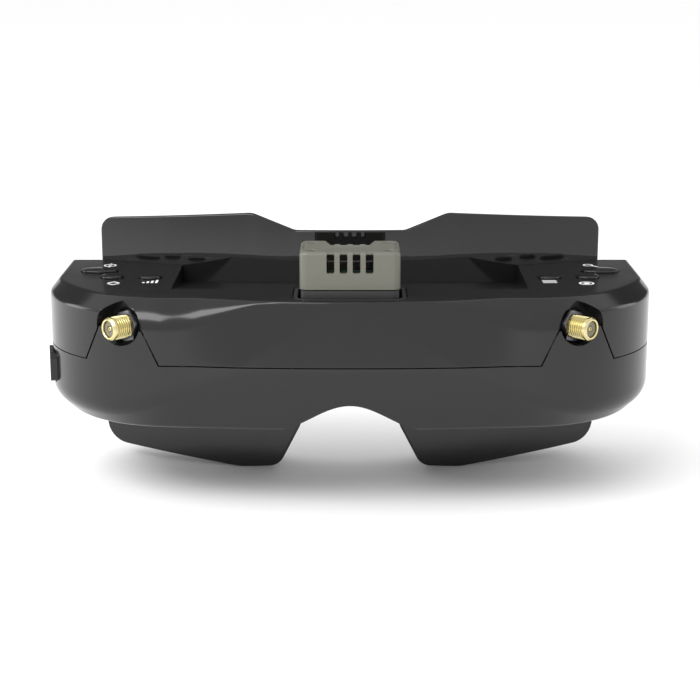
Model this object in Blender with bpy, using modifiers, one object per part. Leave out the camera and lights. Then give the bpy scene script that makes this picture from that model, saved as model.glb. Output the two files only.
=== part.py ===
"""FPV goggles: a two-part visor housing, plug-in receiver module, antenna jacks, controls, optics and face padding.

Metres, +Z up, the wearer's face towards +Y. The origin is on the middle of the base of the object's box.
Depths are counted from the housing's foremost point, and depth(d) turns one into a Y.
"""

import math

import bmesh
import bpy
from mathutils import Matrix, Vector

MM = 0.001

# ---- driving dimensions -------------------------------------------------------------------------------------
OVERALL_DEPTH = 78.4 * MM  # housing front to the rearmost foam
GAP = 0.3 * MM  # between pieces that touch or that slide
WALL = 1.8 * MM  # casing wall

# housing, in plan: a shallow front arc that runs into a tight arc at each side
FRONT_RADIUS = 450 * MM
FRONT_HALF = 52 * MM
CORNER_RADIUS = 38 * MM
SIDE_DEPTH = 64 * MM
HALF_WIDTH = FRONT_HALF + CORNER_RADIUS * (1 - FRONT_HALF / FRONT_RADIUS)
# housing, heights above the base
BASE_Z = 23.3 * MM
SEAM_Z = 42.1 * MM
DECK_Z = 59.8 * MM
# top chamfer: full at the corners, fading out towards the middle
TOP_CHAMFER = 5.0 * MM
TOP_CHAMFER_DROP = 5.3 * MM
CORNER_CHAMFER_DROP = 3.5 * MM
SIDE_CHAMFER = 2.8 * MM
CHAMFER_START = 18 * MM
FRONT_LEAN = 2.2 * MM  # how far the deck's front edge sits behind the seam's crease
# under-cut of the lower front
LOWER_CHAMFER = 5.5 * MM
LOWER_CHAMFER_RISE = 5.2 * MM
LOWER_START = 24 * MM
LOWER_FULL = 70 * MM
EDGE_ROUND = 0.9 * MM

# nose arch
NOSE_HALF = 21 * MM
NOSE_RISE = 7.6 * MM

# valley in the rear of the deck
VALLEY_HALF = 49.4 * MM
VALLEY_FRONT = 20 * MM
VALLEY_DROP = 4.0 * MM

# antenna jacks
JACK_X = FRONT_HALF + 7.4 * MM
JACK_DEPTH = 8.4 * MM
JACK_Z = 52.2 * MM
JACK_YAW = math.radians(46)
THREAD_RADIUS = 3.175 * MM
THREAD_PITCH = 0.706 * MM
THREAD_DEPTH = 0.32 * MM
THREAD_LENGTH = 7.6 * MM
JACK_BORE_RADIUS = 2.25 * MM
JACK_BORE_LENGTH = 4.0 * MM
JACK_TAIL = 5.5 * MM
JACK_FLANGE_RADIUS = 4.1 * MM
JACK_FLANGE = 1.2 * MM
NUT_ACROSS = 8.0 * MM
NUT_THICKNESS = 1.6 * MM
CONTACT_RADIUS = 0.6 * MM
POCKET_RADIUS = 6.7 * MM
POCKET_WALL = 1.6 * MM
TAB_FOOT_OUT = JACK_X + 12.8 * MM
TAB_FOOT_IN = JACK_X - 7.9 * MM
TAB_TOP_OUT = JACK_X + 8.6 * MM
TAB_TOP_IN = JACK_X - 3.5 * MM

# receiver module and its bay
MODULE_WIDTH = 27.2 * MM
MODULE_DEPTH = 18.5 * MM
MODULE_FRONT = 7.0 * MM
MODULE_TOP_Z = 72.5 * MM
MODULE_SKIRT_Z = 62.2 * MM  # where the cover ends and the black carrier begins
MODULE_FLOOR_Z = 41.0 * MM
MODULE_WALL = 1.5 * MM
MODULE_CORNER = 2.2 * MM
MODULE_EDGE = 0.9 * MM
MODULE_TRAVEL = 24 * MM
BAY_CLEARANCE = 0.6 * MM
BAY_WALL = 1.1 * MM
BAY_FLOOR_Z = 37.2 * MM
VENT_COUNT = 4
VENT_WIDTH = 2.0 * MM
VENT_PITCH = 3.5 * MM
VENT_HEIGHT = 5.4 * MM
SCOOP_REAR_HALF = 7.4 * MM
SCOOP_FRONT_HALF = 4.5 * MM
SCOOP_LENGTH = 11 * MM
SCOOP_DEPTH = 1.1 * MM
GRIP_COUNT = 5
GRIP_PITCH = 2.1 * MM
GRIP_DEPTH = 0.45 * MM
MODULE_SCREW_RADIUS = 1.1 * MM
SCREW_INSET = 3.2 * MM
PIN_COUNT = 6
PIN_PITCH = 2.54 * MM

# faceplate: a sheet bent round an upright axis, leaning back at the top
PLATE_RADIUS = 190 * MM
PLATE_DEPTH = 48 * MM
PLATE_THICKNESS = 2.4 * MM
PLATE_LEAN = math.radians(3)
PLATE_MID_Z = 42 * MM
PLATE_HALF = 74.6 * MM
PLATE_TOP_Z = 76.0 * MM
PLATE_NOTCH_Z = 71.1 * MM
PLATE_NOTCH_HALF = 16.2 * MM
PLATE_SHOULDER = 28.9 * MM
PLATE_OUTER_TOP_Z = 73.4 * MM
WINDOW_IN = 12.5 * MM
WINDOW_OUT = 54 * MM
WINDOW_LOW_Z = 27 * MM
WINDOW_HIGH_Z = 52.5 * MM
FOAM_THICKNESS = 10.5 * MM
FOAM_INSET = 1.4 * MM
FOAM_BAND = 11.5 * MM

# optics
EYE_X = 32 * MM
IPD_TRAVEL = 2.5 * MM
EYE_WIDTH = 30 * MM
EYE_HEIGHT = 21.6 * MM
EYE_Z = 39.9 * MM
EYE_FRONT = 28 * MM
EYE_REAR = 50 * MM
EYE_WALL = 1.5 * MM
LENS_THICKNESS = 5 * MM
DISPLAY_THICKNESS = 1.6 * MM
FRAME_THICKNESS = 2.0 * MM
RAIL_RADIUS = 1.0 * MM
RAIL_CLEARANCE = 0.08 * MM
RAIL_DEPTH = 36 * MM
RAIL_Z = 27.4 * MM
KNOB_LENGTH = 9 * MM
KNOB_DEPTH = 5 * MM
KNOB_DROP = 2.2 * MM
KNOB_NECK = 3 * MM

# fan
FAN_SIZE = 15.6 * MM
FAN_THICKNESS = 6 * MM
FAN_DEPTH = 29.5 * MM
FAN_Z = 43.6 * MM
FAN_BLADES = 7

# controls
BUTTON_PROUD = 0.9 * MM
BUTTON_TRAVEL = 0.8 * MM
BUTTON_FLANGE = 0.8 * MM
BUTTON_FLANGE_THICKNESS = 0.8 * MM
BUTTON_STEM = 4.0 * MM
ROUND_BUTTON = 3.1 * MM
OVAL_BUTTON = (5.2 * MM, 3.1 * MM)
BUTTONS = {  # name: (how far in from the side, depth, half length, half width)
    "tracker_button": (13.2 * MM, 45.4 * MM, *OVAL_BUTTON),
    "channel_button": (17.9 * MM, 36.6 * MM, ROUND_BUTTON, ROUND_BUTTON),
    "band_button": (28.9 * MM, 36.2 * MM, ROUND_BUTTON, ROUND_BUTTON),
}
RIGHT_NAMES = {"tracker_button": "search_button", "channel_button": "record_button", "band_button": "mode_button"}
POWER_DEPTH = 32 * MM
POWER_Z = 35.9 * MM
POWER_LENGTH = 12 * MM
POWER_HEIGHT = 8.4 * MM
POWER_THICKNESS = 3.6 * MM
POWER_PROUD = 1.0 * MM
POWER_TRAVEL = 0.7 * MM
POWER_CORNER = 1.8 * MM
POWER_TURN = math.radians(10)

# sockets in the underside: (x, depth)
DC_JACK = (-HALF_WIDTH + 25.6 * MM, 26 * MM)
AV_JACK = (-HALF_WIDTH + 38.6 * MM, 22 * MM)
HDMI_PORT = (HALF_WIDTH - 35.6 * MM, 22 * MM)
CARD_SLOT = (HALF_WIDTH - 19.6 * MM, 30 * MM)
SIDE_SCREW_X = HALF_WIDTH - 15.6 * MM
CASE_SCREWS = ((-30 * MM, 16 * MM), (30 * MM, 16 * MM), (-SIDE_SCREW_X, 42 * MM), (SIDE_SCREW_X, 42 * MM))
CASE_SCREW_RADIUS = 1.9 * MM
PLATE_SCREW_X = PLATE_HALF - 14.6 * MM
PLATE_SCREWS = tuple((side * PLATE_SCREW_X, z) for z in (51 * MM, 31 * MM) for side in (-1, 1))
PLATE_SCREW_RADIUS = 1.8 * MM

# strap loops
STRAP_WIDTH = 19 * MM
STRAP_SLOT = 3.2 * MM
STRAP_BAR = 2.6 * MM
STRAP_Z = 42 * MM

ROUND_STEPS = 24


def depth(d):
    """The Y of a depth behind the housing's foremost point."""
    return d - OVERALL_DEPTH / 2


# ---- materials and small helpers ------------------------------------------------------------------------------
def material(name, colour, roughness, metallic=0.0):
    made = bpy.data.materials.new(name)
    made.use_nodes = True
    shader = made.node_tree.nodes["Principled BSDF"]
    shader.inputs["Base Color"].default_value = (*colour, 1)
    shader.inputs["Roughness"].default_value = roughness
    shader.inputs["Metallic"].default_value = metallic
    return made


def collection(name, hidden=False):
    made = bpy.data.collections.new(name)
    bpy.context.scene.collection.children.link(made)
    made.hide_render = hidden
    return made


def link(obj, helper=False):
    """Puts an object in the goggles' collection, or a cutter in the cutters'."""
    for owner in list(obj.users_collection):
        owner.objects.unlink(obj)
    (CUTTERS if helper else PARTS).objects.link(obj)
    if helper:
        obj.hide_render = True
        obj.display_type = "WIRE"
    return obj


def face_outwards(bm):
    bmesh.ops.recalc_face_normals(bm, faces=bm.faces)
    if bm.calc_volume(signed=True) < 0:
        bmesh.ops.reverse_faces(bm, faces=bm.faces)


def mesh_object(name, bm, helper=True):
    face_outwards(bm)
    mesh = bpy.data.meshes.new(name)
    bm.to_mesh(mesh)
    bm.free()
    obj = bpy.data.objects.new(name, mesh)
    return link(obj, helper)


def rounded(corners, radius, steps=4):
    """An outline's corners replaced by arcs. A corner is (x, y) or (x, y, its own radius)."""
    points = []
    count = len(corners)
    for i, corner in enumerate(corners):
        here = Vector(corner[:2])
        size = corner[2] if len(corner) > 2 else radius
        before = (Vector(corners[i - 1][:2]) - here).normalized()
        after = (Vector(corners[(i + 1) % count][:2]) - here).normalized()
        half = before.angle(after) / 2
        if size <= 0 or half > math.radians(89):
            points.append(tuple(here))
            continue
        start = here + before * size / math.tan(half)
        centre = here + (before + after).normalized() * size / math.sin(half)
        sweep = (start - centre).angle_signed(here + after * size / math.tan(half) - centre)
        for k in range(steps + 1):
            arm = start - centre
            arm.rotate(Matrix.Rotation(-sweep * k / steps, 2))
            points.append(tuple(centre + arm))
    return points


def prism(name, outline, low, high, axis="Z", helper=True):
    """A flat outline given a thickness from low to high along an axis: Z takes (x, y), Y takes (x, z), X takes (y, z)."""
    curve = bpy.data.curves.new(name, "CURVE")
    curve.dimensions = "2D"
    curve.fill_mode = "BOTH"
    curve.extrude = (high - low) / 2
    spline = curve.splines.new("POLY")
    spline.points.add(len(outline) - 1)
    for point, (a, b) in zip(spline.points, outline):
        point.co = (a, b, 0, 1)
    spline.use_cyclic_u = True
    source = bpy.data.objects.new(name, curve)
    bpy.context.scene.collection.objects.link(source)
    graph = bpy.context.evaluated_depsgraph_get()
    mesh = bpy.data.meshes.new_from_object(source.evaluated_get(graph))
    bpy.data.objects.remove(source)
    middle = (low + high) / 2
    turned = {
        "Z": Matrix.Translation((0, 0, middle)),
        "Y": Matrix(((1, 0, 0, 0), (0, 0, 1, middle), (0, 1, 0, 0), (0, 0, 0, 1))),
        "X": Matrix(((0, 0, 1, middle), (1, 0, 0, 0), (0, 1, 0, 0), (0, 0, 0, 1))),
    }[axis]
    mesh.transform(turned)
    bm = bmesh.new()
    bm.from_mesh(mesh)
    bpy.data.meshes.remove(mesh)
    bmesh.ops.remove_doubles(bm, verts=bm.verts, dist=1e-6)
    return mesh_object(name, bm, helper)


def rectangle(cx, cy, width, height):
    return [
        (cx - width / 2, cy - height / 2),
        (cx + width / 2, cy - height / 2),
        (cx + width / 2, cy + height / 2),
        (cx - width / 2, cy + height / 2),
    ]


def box(name, low, high, helper=True):
    bm = bmesh.new()
    bmesh.ops.create_cube(bm, size=1)
    size = Vector(high) - Vector(low)
    bmesh.ops.scale(bm, vec=size, verts=bm.verts)
    bmesh.ops.translate(bm, vec=Vector(low) + size / 2, verts=bm.verts)
    return mesh_object(name, bm, helper)


def cylinder(name, start, end, radius, steps=ROUND_STEPS, helper=True, end_radius=None):
    """A cylinder, or a cone, between two points."""
    start, end = Vector(start), Vector(end)
    bm = bmesh.new()
    bmesh.ops.create_cone(
        bm,
        cap_ends=True,
        segments=steps,
        radius1=radius,
        radius2=radius if end_radius is None else end_radius,
        depth=(end - start).length,
    )
    turn = Vector((0, 0, 1)).rotation_difference(end - start).to_matrix().to_4x4()
    bm.transform(Matrix.Translation((start + end) / 2) @ turn)
    return mesh_object(name, bm, helper)


def turned(name, profile, origin, axis, steps=ROUND_STEPS, helper=True):
    """A profile of (radius, distance along the axis) from the far end back, turned about the axis."""
    mesh = bpy.data.meshes.new(name)
    mesh.from_pydata([(r, 0, z) for r, z in profile], [(i, i + 1) for i in range(len(profile) - 1)], [])
    obj = link(bpy.data.objects.new(name, mesh), helper)
    screw = obj.modifiers.new("turn", "SCREW")
    screw.steps = screw.render_steps = steps
    screw.use_merge_vertices = True
    screw.merge_threshold = 1e-6
    turn = Vector((0, 0, 1)).rotation_difference(Vector(axis)).to_matrix().to_4x4()
    return frozen(obj, Matrix.Translation(origin) @ turn)


def frozen(obj, matrix=None):
    """The object with its modifiers applied, and moved by a matrix."""
    bpy.context.view_layer.update()
    graph = bpy.context.evaluated_depsgraph_get()
    mesh = bpy.data.meshes.new_from_object(obj.evaluated_get(graph))
    obj.modifiers.clear()
    if matrix is not None:
        mesh.transform(matrix)
    obj.data = mesh
    bm = bmesh.new()
    bm.from_mesh(mesh)
    bmesh.ops.remove_doubles(bm, verts=bm.verts, dist=1e-6)
    face_outwards(bm)
    bm.to_mesh(mesh)
    bm.free()
    return obj


def boolean(obj, operation, *others):
    """Cuts, joins or intersects, one after the other, and applies each result."""
    for other in others:
        modifier = obj.modifiers.new(operation, "BOOLEAN")
        modifier.operation = operation
        modifier.solver = "EXACT"
        modifier.object = other
        frozen(obj)
    return obj


def cut(obj, *others):
    return boolean(obj, "DIFFERENCE", *others)


def join(obj, *others):
    return boolean(obj, "UNION", *others)


def keep(obj, *others):
    return boolean(obj, "INTERSECT", *others)


def bevelled(obj, width, segments=2, angle=30):
    modifier = obj.modifiers.new("edges", "BEVEL")
    modifier.width = width
    modifier.segments = segments
    modifier.limit_method = "ANGLE"
    modifier.angle_limit = math.radians(angle)
    return frozen(obj)


def piece(obj, name, finish):
    """Turns a helper into a finished sub-part."""
    link(obj)
    obj.hide_render = False
    obj.display_type = "TEXTURED"
    obj.name = name
    obj.data.name = name
    obj.data.materials.clear()
    obj.data.materials.append(finish)
    obj.data.shade_smooth()
    obj.data.set_sharp_from_angle(angle=math.radians(28))
    return obj


def copy_of(obj, name):
    made = obj.copy()
    made.data = obj.data.copy()
    made.name = name
    return link(made, helper=True)


def mirrored(obj, name):
    """A copy on the other side of the YZ plane."""
    made = copy_of(obj, name)
    return frozen(made, Matrix.Scale(-1, 4, (1, 0, 0)))


# ---- housing ----------------------------------------------------------------------------------------------------
def smooth_step(value, low, high):
    share = min(1, max(0, (value - low) / (high - low)))
    return share * share * (3 - 2 * share)


def plan_stations(front_steps=10, corner_steps=14):
    """Points and outward normals of the housing's plan, from the middle of the front to the end of the side."""
    stations = []
    for i in range(front_steps):
        x = FRONT_HALF * i / front_steps
        lean = math.asin(x / FRONT_RADIUS)
        stations.append((x, FRONT_RADIUS * (1 - math.cos(lean)), lean))
    start = math.asin(FRONT_HALF / FRONT_RADIUS)
    cx = FRONT_HALF - CORNER_RADIUS * math.sin(start)
    cy = FRONT_RADIUS * (1 - math.cos(start)) + CORNER_RADIUS * math.cos(start)
    for i in range(corner_steps + 1):
        lean = start + (math.pi / 2 - start) * i / corner_steps
        stations.append((cx + CORNER_RADIUS * math.sin(lean), cy - CORNER_RADIUS * math.cos(lean), lean))
    stations.append((cx + CORNER_RADIUS, SIDE_DEPTH, math.pi / 2))
    return [(x, d, math.sin(lean), -math.cos(lean)) for x, d, lean in stations]



def section(x, d, inset):
    """The housing's upright section at a station, as (how far in, height) from the deck's edge down to the base."""
    corner = smooth_step(x, CHAMFER_START, FRONT_HALF)
    side = smooth_step(d, CORNER_RADIUS * 0.45, CORNER_RADIUS)
    chamfer = TOP_CHAMFER * corner * (1 - side) + SIDE_CHAMFER * side
    round_corner = smooth_step(x, FRONT_HALF + 4 * MM, FRONT_HALF + 14 * MM)
    drop = max(0.6 * MM, corner * (TOP_CHAMFER_DROP + (CORNER_CHAMFER_DROP - TOP_CHAMFER_DROP) * round_corner))
    lean = FRONT_LEAN * (1 - corner)
    low = smooth_step(x, LOWER_START, LOWER_FULL)
    wall_low = SEAM_Z - 1.0 * MM - (SEAM_Z - 1.0 * MM - BASE_Z - LOWER_CHAMFER_RISE) * low
    return [
        (inset + chamfer + lean + EDGE_ROUND, DECK_Z - inset),
        (inset + chamfer + lean, DECK_Z - inset - EDGE_ROUND * 0.5),
        (inset + lean * 0.9, DECK_Z - inset * 0.6 - drop),
        (inset, SEAM_Z),
        (inset, wall_low),
        (inset + LOWER_CHAMFER, BASE_Z + inset + EDGE_ROUND * 0.5),
        (inset + LOWER_CHAMFER + EDGE_ROUND, BASE_Z + inset),
    ]


def housing_block(name, inset=0.0):
    """The housing as a closed block, or the block inside its wall."""
    stations = plan_stations()
    mirrored_half = [(-x, d, -nx, ny) for x, d, nx, ny in reversed(stations[1:])]
    bm = bmesh.new()
    rows = []
    for x, d, nx, ny in mirrored_half + stations:
        row = []
        for inward, z in section(abs(x), d, inset):
            row.append(bm.verts.new((x - nx * inward, depth(d - ny * inward), z)))
        rows.append(row)
    for left, right in zip(rows, rows[1:]):
        for k in range(len(left) - 1):
            bm.faces.new((left[k], left[k + 1], right[k + 1], right[k]))
    half = len(rows) // 2
    for i in range(half):
        a, b = rows[i], rows[i + 1]
        c, e = rows[-i - 2], rows[-i - 1]
        for k in (0, -1):
            corners = [a[k], b[k], c[k], e[k]]
            bm.faces.new(corners if i < half - 1 else [a[k], b[k], e[k]])
    bm.faces.new(rows[0] + rows[-1][::-1])
    return mesh_object(name, bm)


def nose_cutter(name, grow=0.0):
    """The arch over the wearer's nose, run through the housing's depth."""
    half, rise = NOSE_HALF + grow, NOSE_RISE + grow
    low = BASE_Z - 12 * MM
    count = 16
    arch = []
    for i in range(count + 1):
        x = half * (1 - 2 * i / count)
        arch.append((x, BASE_Z + rise * (0.5 + 0.5 * math.cos(math.pi * x / half)) + grow * 0.0))
    outline = [(half, low), *arch, (-half, low)]
    return prism(name, outline, depth(-10 * MM), depth(90 * MM), "Y")


def plate_matrix():
    """Leans what is made upright so that its top goes back."""
    pivot = Vector((0, depth(PLATE_DEPTH), PLATE_MID_Z))
    return Matrix.Translation(pivot) @ Matrix.Rotation(-PLATE_LEAN, 4, "X") @ Matrix.Translation(-pivot)


def bent_block(name, front, back, steps=96):
    """What lies between two bent sheets concentric with the faceplate, at these distances behind its front face."""
    half, low, high = 100 * MM, -30 * MM, 110 * MM
    centre = PLATE_DEPTH + PLATE_RADIUS
    outline = []
    for offset, way in ((front, 1), (back, -1)):
        radius = PLATE_RADIUS - offset
        reach = math.asin(half / PLATE_RADIUS)
        for i in range(steps + 1):
            turn = way * reach * (2 * i / steps - 1)
            outline.append((radius * math.sin(turn), depth(centre - radius * math.cos(turn))))
    made = prism(name, outline, low, high, "Z")
    return frozen(made, plate_matrix())


def jack_axis(side):
    return Vector((side * math.sin(JACK_YAW), -math.cos(JACK_YAW), 0))


def jack_base(side):
    """Where the jack's axis meets the pocket's floor."""
    return Vector((side * JACK_X, depth(JACK_DEPTH), JACK_Z))


def seam_outline(grow=0.0):
    """What lies under the seam, seen from the front: level, with an ear rising to each antenna jack."""
    ear = [
        (TAB_FOOT_IN - grow, SEAM_Z + grow),
        (TAB_TOP_IN - grow, JACK_Z - 0.8 * MM + grow),
        (TAB_TOP_IN + 1.6 * MM, JACK_Z + grow),
        (TAB_TOP_OUT + grow, JACK_Z + grow),
        (TAB_FOOT_OUT + grow, SEAM_Z + grow),
    ]
    wide, low = 110 * MM, -10 * MM
    right = [*ear, (wide, SEAM_Z + grow), (wide, low)]
    return [(-x, z) for x, z in reversed(right)] + right


def switch_frame():
    """The power switch's own axes: its face's outward direction, and its centre on the casing's wall."""
    out = Vector((-math.cos(POWER_TURN), -math.sin(POWER_TURN), 0))
    cx = HALF_WIDTH - CORNER_RADIUS
    rise = math.sqrt(CORNER_RADIUS**2 - (plan_stations()[-2][1] - POWER_DEPTH) ** 2)
    return out, Vector((-(cx + rise), depth(POWER_DEPTH), POWER_Z))


def switch_block(name, grow, inner, outer):
    """A rounded block standing in the side wall, from inner to outer along the switch's own direction."""
    out, centre = switch_frame()
    outline = rounded(
        rectangle(0, 0, POWER_LENGTH + 2 * grow, POWER_HEIGHT + 2 * grow), POWER_CORNER + grow
    )
    made = prism(name, outline, inner, outer, "X")
    turn = Matrix.Rotation(math.pi + POWER_TURN, 4, "Z")
    return frozen(made, Matrix.Translation(centre) @ turn)


def button_outline(x, d, half_length, half_width, grow=0.0):
    steps = ROUND_STEPS
    return [
        (
            x + (half_length + grow) * math.cos(2 * math.pi * i / steps),
            depth(d) + (half_width + grow) * math.sin(2 * math.pi * i / steps),
        )
        for i in range(steps)
    ]


def build_housing():
    shell = housing_block("shell")
    cavity = housing_block("cavity", WALL)
    cut(shell, nose_cutter("nose"))
    cut(cavity, nose_cutter("nose_wall", WALL))

    # valley in the rear of the deck, with the same valley inside it
    for target, low in ((shell, 0.0), (cavity, WALL)):
        front, back = depth(VALLEY_FRONT), depth(90 * MM)
        slope = VALLEY_DROP / (PLATE_DEPTH - VALLEY_FRONT)
        profile = [(front, DECK_Z - low), (back, DECK_Z - low - slope * (back - front)), (back, 80 * MM), (front, 80 * MM)]
        half = VALLEY_HALF + low
        cut(target, bevelled(prism("valley", profile, -half, half, "X"), 0.4 * MM, 1))

    behind = bent_block("behind_plate", -GAP, 60 * MM)
    cut(shell, behind)

    pockets = []
    for side in (-1, 1):
        base, axis = jack_base(side), jack_axis(side)
        cut(cavity, cylinder("boss", base - axis * POCKET_WALL, base + axis * 24 * MM, POCKET_RADIUS + POCKET_WALL, 32))
        pockets.append(cylinder("pocket", base, base + axis * 24 * MM, POCKET_RADIUS, 32))
        pockets.append(cylinder("jack_hole", base - axis * 9 * MM, base + axis * MM, THREAD_RADIUS + GAP))
        seat = base - axis * POCKET_WALL
        pockets.append(cylinder("jack_seat", seat - axis * 4 * MM, seat, JACK_FLANGE_RADIUS + GAP))
    cut(shell, cavity, *pockets)

    # bay opening in the deck
    grow = BAY_CLEARANCE + BAY_WALL + GAP
    bay = rounded(
        rectangle(0, depth(MODULE_FRONT + MODULE_DEPTH / 2), MODULE_WIDTH + 2 * grow, MODULE_DEPTH + 2 * grow),
        MODULE_CORNER + grow,
    )
    cut(shell, prism("bay_hole", bay, DECK_Z - 12 * MM, DECK_Z + 5 * MM))

    for inward, d, half_length, half_width in BUTTONS.values():
        for side in (-1, 1):
            outline = button_outline(side * (HALF_WIDTH - inward), d, half_length, half_width, GAP)
            cut(shell, prism("button_hole", outline, DECK_Z - 3 * WALL, DECK_Z + WALL))
    cut(shell, switch_block("switch_hole", GAP, -6 * MM, 6 * MM))

    # slots, sockets and screw holes in the base
    for side in (-1, 1):
        slot = rounded(
            rectangle(side * EYE_X, depth(RAIL_DEPTH), KNOB_NECK + 2 * (IPD_TRAVEL + GAP), KNOB_NECK + 2 * GAP), 0.6 * MM
        )
        cut(shell, prism("knob_slot", slot, BASE_Z - WALL, BASE_Z + 2 * WALL))
    for name, outline in socket_outlines(GAP).items():
        cut(shell, prism(name + "_hole", outline, BASE_Z - WALL, BASE_Z + 2 * WALL))
    for x, d in CASE_SCREWS:
        low, high = (x, depth(d), BASE_Z - WALL), (x, depth(d), BASE_Z + 2 * WALL)
        cut(shell, cylinder("case_screw_hole", low, high, CASE_SCREW_RADIUS + GAP, 16))

    upper = copy_of(shell, "upper")
    cut(upper, prism("below_seam", seam_outline(GAP / 2), depth(-20 * MM), depth(100 * MM), "Y"))
    lower = keep(shell, prism("seam", seam_outline(-GAP / 2), depth(-20 * MM), depth(100 * MM), "Y"))
    piece(upper, "upper_shell", SHELL_BLACK)
    piece(lower, "lower_shell", SHELL_BLACK)

    # rear frame: closes the back of the housing and carries the optics
    frame = housing_block("frame", WALL + GAP)
    cut(frame, nose_cutter("nose_frame", WALL + GAP))
    slope = VALLEY_DROP / (PLATE_DEPTH - VALLEY_FRONT)
    front, back = depth(VALLEY_FRONT), depth(90 * MM)
    low = WALL + GAP
    profile = [(front, DECK_Z - low), (back, DECK_Z - low - slope * (back - front)), (back, 80 * MM), (front, 80 * MM)]
    cut(frame, prism("valley_frame", profile, -VALLEY_HALF - low, VALLEY_HALF + low, "X"))
    sheet = bent_block("frame_sheet", -GAP - FRAME_THICKNESS, -GAP)
    flat = depth(SIDE_DEPTH - GAP)
    reach = PLATE_DEPTH + PLATE_RADIUS - SIDE_DEPTH + GAP + FRAME_THICKNESS
    sheet_meets_flat = math.sqrt((PLATE_RADIUS + GAP + FRAME_THICKNESS) ** 2 - reach**2)
    flange_from = max(sheet_meets_flat - 4 * MM, PLATE_HALF + GAP)
    for side in (-1, 1):
        low, high = sorted((side * flange_from, side * 110 * MM))
        join(sheet, box("flange", (low, flat - FRAME_THICKNESS, -20 * MM), (high, flat, 100 * MM)))
    cut(sheet, box("past_sides", (-120 * MM, flat, -40 * MM), (120 * MM, flat + 40 * MM, 120 * MM)))
    keep(frame, sheet)
    for side in (-1, 1):
        half = EYE_WIDTH / 2 + IPD_TRAVEL + 2 * GAP
        window = rounded(rectangle(side * EYE_X, EYE_Z, 2 * half, EYE_HEIGHT + 3 * GAP), 2.5 * MM)
        cut(frame, prism("eye_window", window, depth(30 * MM), depth(70 * MM), "Y"))
    for i in range(3):
        slot = rounded(rectangle((i - 1) * 4 * MM, FAN_Z, 2 * MM, 11 * MM), 0.8 * MM)
        cut(frame, prism("fan_slot", slot, depth(30 * MM), depth(70 * MM), "Y"))
    for side in (-1, 1):
        cut(frame, strap_block("strap_slot", side, GAP)[0])
    for x, z in PLATE_SCREWS:
        cut(frame, plate_screw_shape("frame_screw_hole", x, z, GAP))
    piece(frame, "rear_frame", INNER_BLACK)


# ---- faceplate and foam -----------------------------------------------------------------------------------------
def plate_outline(inset=0.0, nose_grow=0.0):
    """The faceplate seen from the front, corners with their own radii."""
    half = PLATE_HALF - inset
    g = nose_grow
    right = [
        (PLATE_NOTCH_HALF - inset * 0.4, PLATE_NOTCH_Z - inset, 5 * MM),
        (PLATE_SHOULDER - inset * 0.4, PLATE_TOP_Z - inset, 6 * MM),
        (half, PLATE_OUTER_TOP_Z - inset, 4 * MM),
        (half - 0.8 * MM, 5.6 * MM + inset, 7 * MM),
        (33 * MM, -0.1 * MM + inset, 12 * MM),
        (21.2 * MM + g, 0.5 * MM + inset, 5 * MM),
        (15.0 * MM + g, 12.5 * MM, 6 * MM),
        (8.6 * MM + g, 29 * MM + g, 8 * MM),
    ]
    return right + [(-x, z, r) for x, z, r in reversed(right)]


def plate_screw_shape(name, x, z, grow=0.0):
    d = PLATE_DEPTH + PLATE_RADIUS - math.sqrt(PLATE_RADIUS**2 - x * x)
    head = depth(d + PLATE_THICKNESS + 0.9 * MM)
    low, high = (x, head - 6.5 * MM - grow, z), (x, head - 0.6 * MM, z)
    made = cylinder(name, low, high, 1.0 * MM + grow, 12)
    return join(made, cylinder("head", (x, head - 1.3 * MM - grow, z), (x, head, z), PLATE_SCREW_RADIUS + grow, 16))


def build_faceplate():
    plate = bent_block("plate_sheet", 0.0, PLATE_THICKNESS)
    keep(plate, prism("plate_cut", rounded(plate_outline(), 0, 5), depth(20 * MM), depth(110 * MM), "Y"))
    for side in (-1, 1):
        centre = (WINDOW_IN + WINDOW_OUT) / 2
        window = rectangle(side * centre, (WINDOW_LOW_Z + WINDOW_HIGH_Z) / 2, WINDOW_OUT - WINDOW_IN, WINDOW_HIGH_Z - WINDOW_LOW_Z)
        cut(plate, prism("plate_window", rounded(window, 5 * MM), depth(20 * MM), depth(110 * MM), "Y"))
    for i, (x, z) in enumerate(PLATE_SCREWS):
        cut(plate, plate_screw_shape("plate_screw_hole", x, z, GAP))
        piece(plate_screw_shape("screw", x, z), f"faceplate_screw_{i + 1}", STEEL)
    piece(plate, "faceplate", SHELL_BLACK)

    front = PLATE_THICKNESS + GAP
    foam = bent_block("foam_block", front, front + FOAM_THICKNESS, 48)
    outer = rounded(plate_outline(FOAM_INSET, 0.8 * MM), 0, 4)
    keep(foam, prism("foam_outer", outer, depth(20 * MM), depth(120 * MM), "Y"))
    inner = [
        (PLATE_HALF - FOAM_INSET - FOAM_BAND * 0.7, PLATE_OUTER_TOP_Z - FOAM_INSET - FOAM_BAND, 8 * MM),
        (PLATE_HALF - FOAM_INSET - FOAM_BAND * 0.7, 5 * MM + FOAM_BAND, 9 * MM),
        (30 * MM, FOAM_BAND + 1.5 * MM, 7 * MM),
        (19.5 * MM, 33 * MM, 7 * MM),
    ]
    opening = inner + [(-x, z, r) for x, z, r in reversed(inner)]
    cut(foam, prism("foam_opening", rounded(opening, 0, 4), depth(20 * MM), depth(120 * MM), "Y"))
    piece(foam, "face_foam", FOAM)


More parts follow.
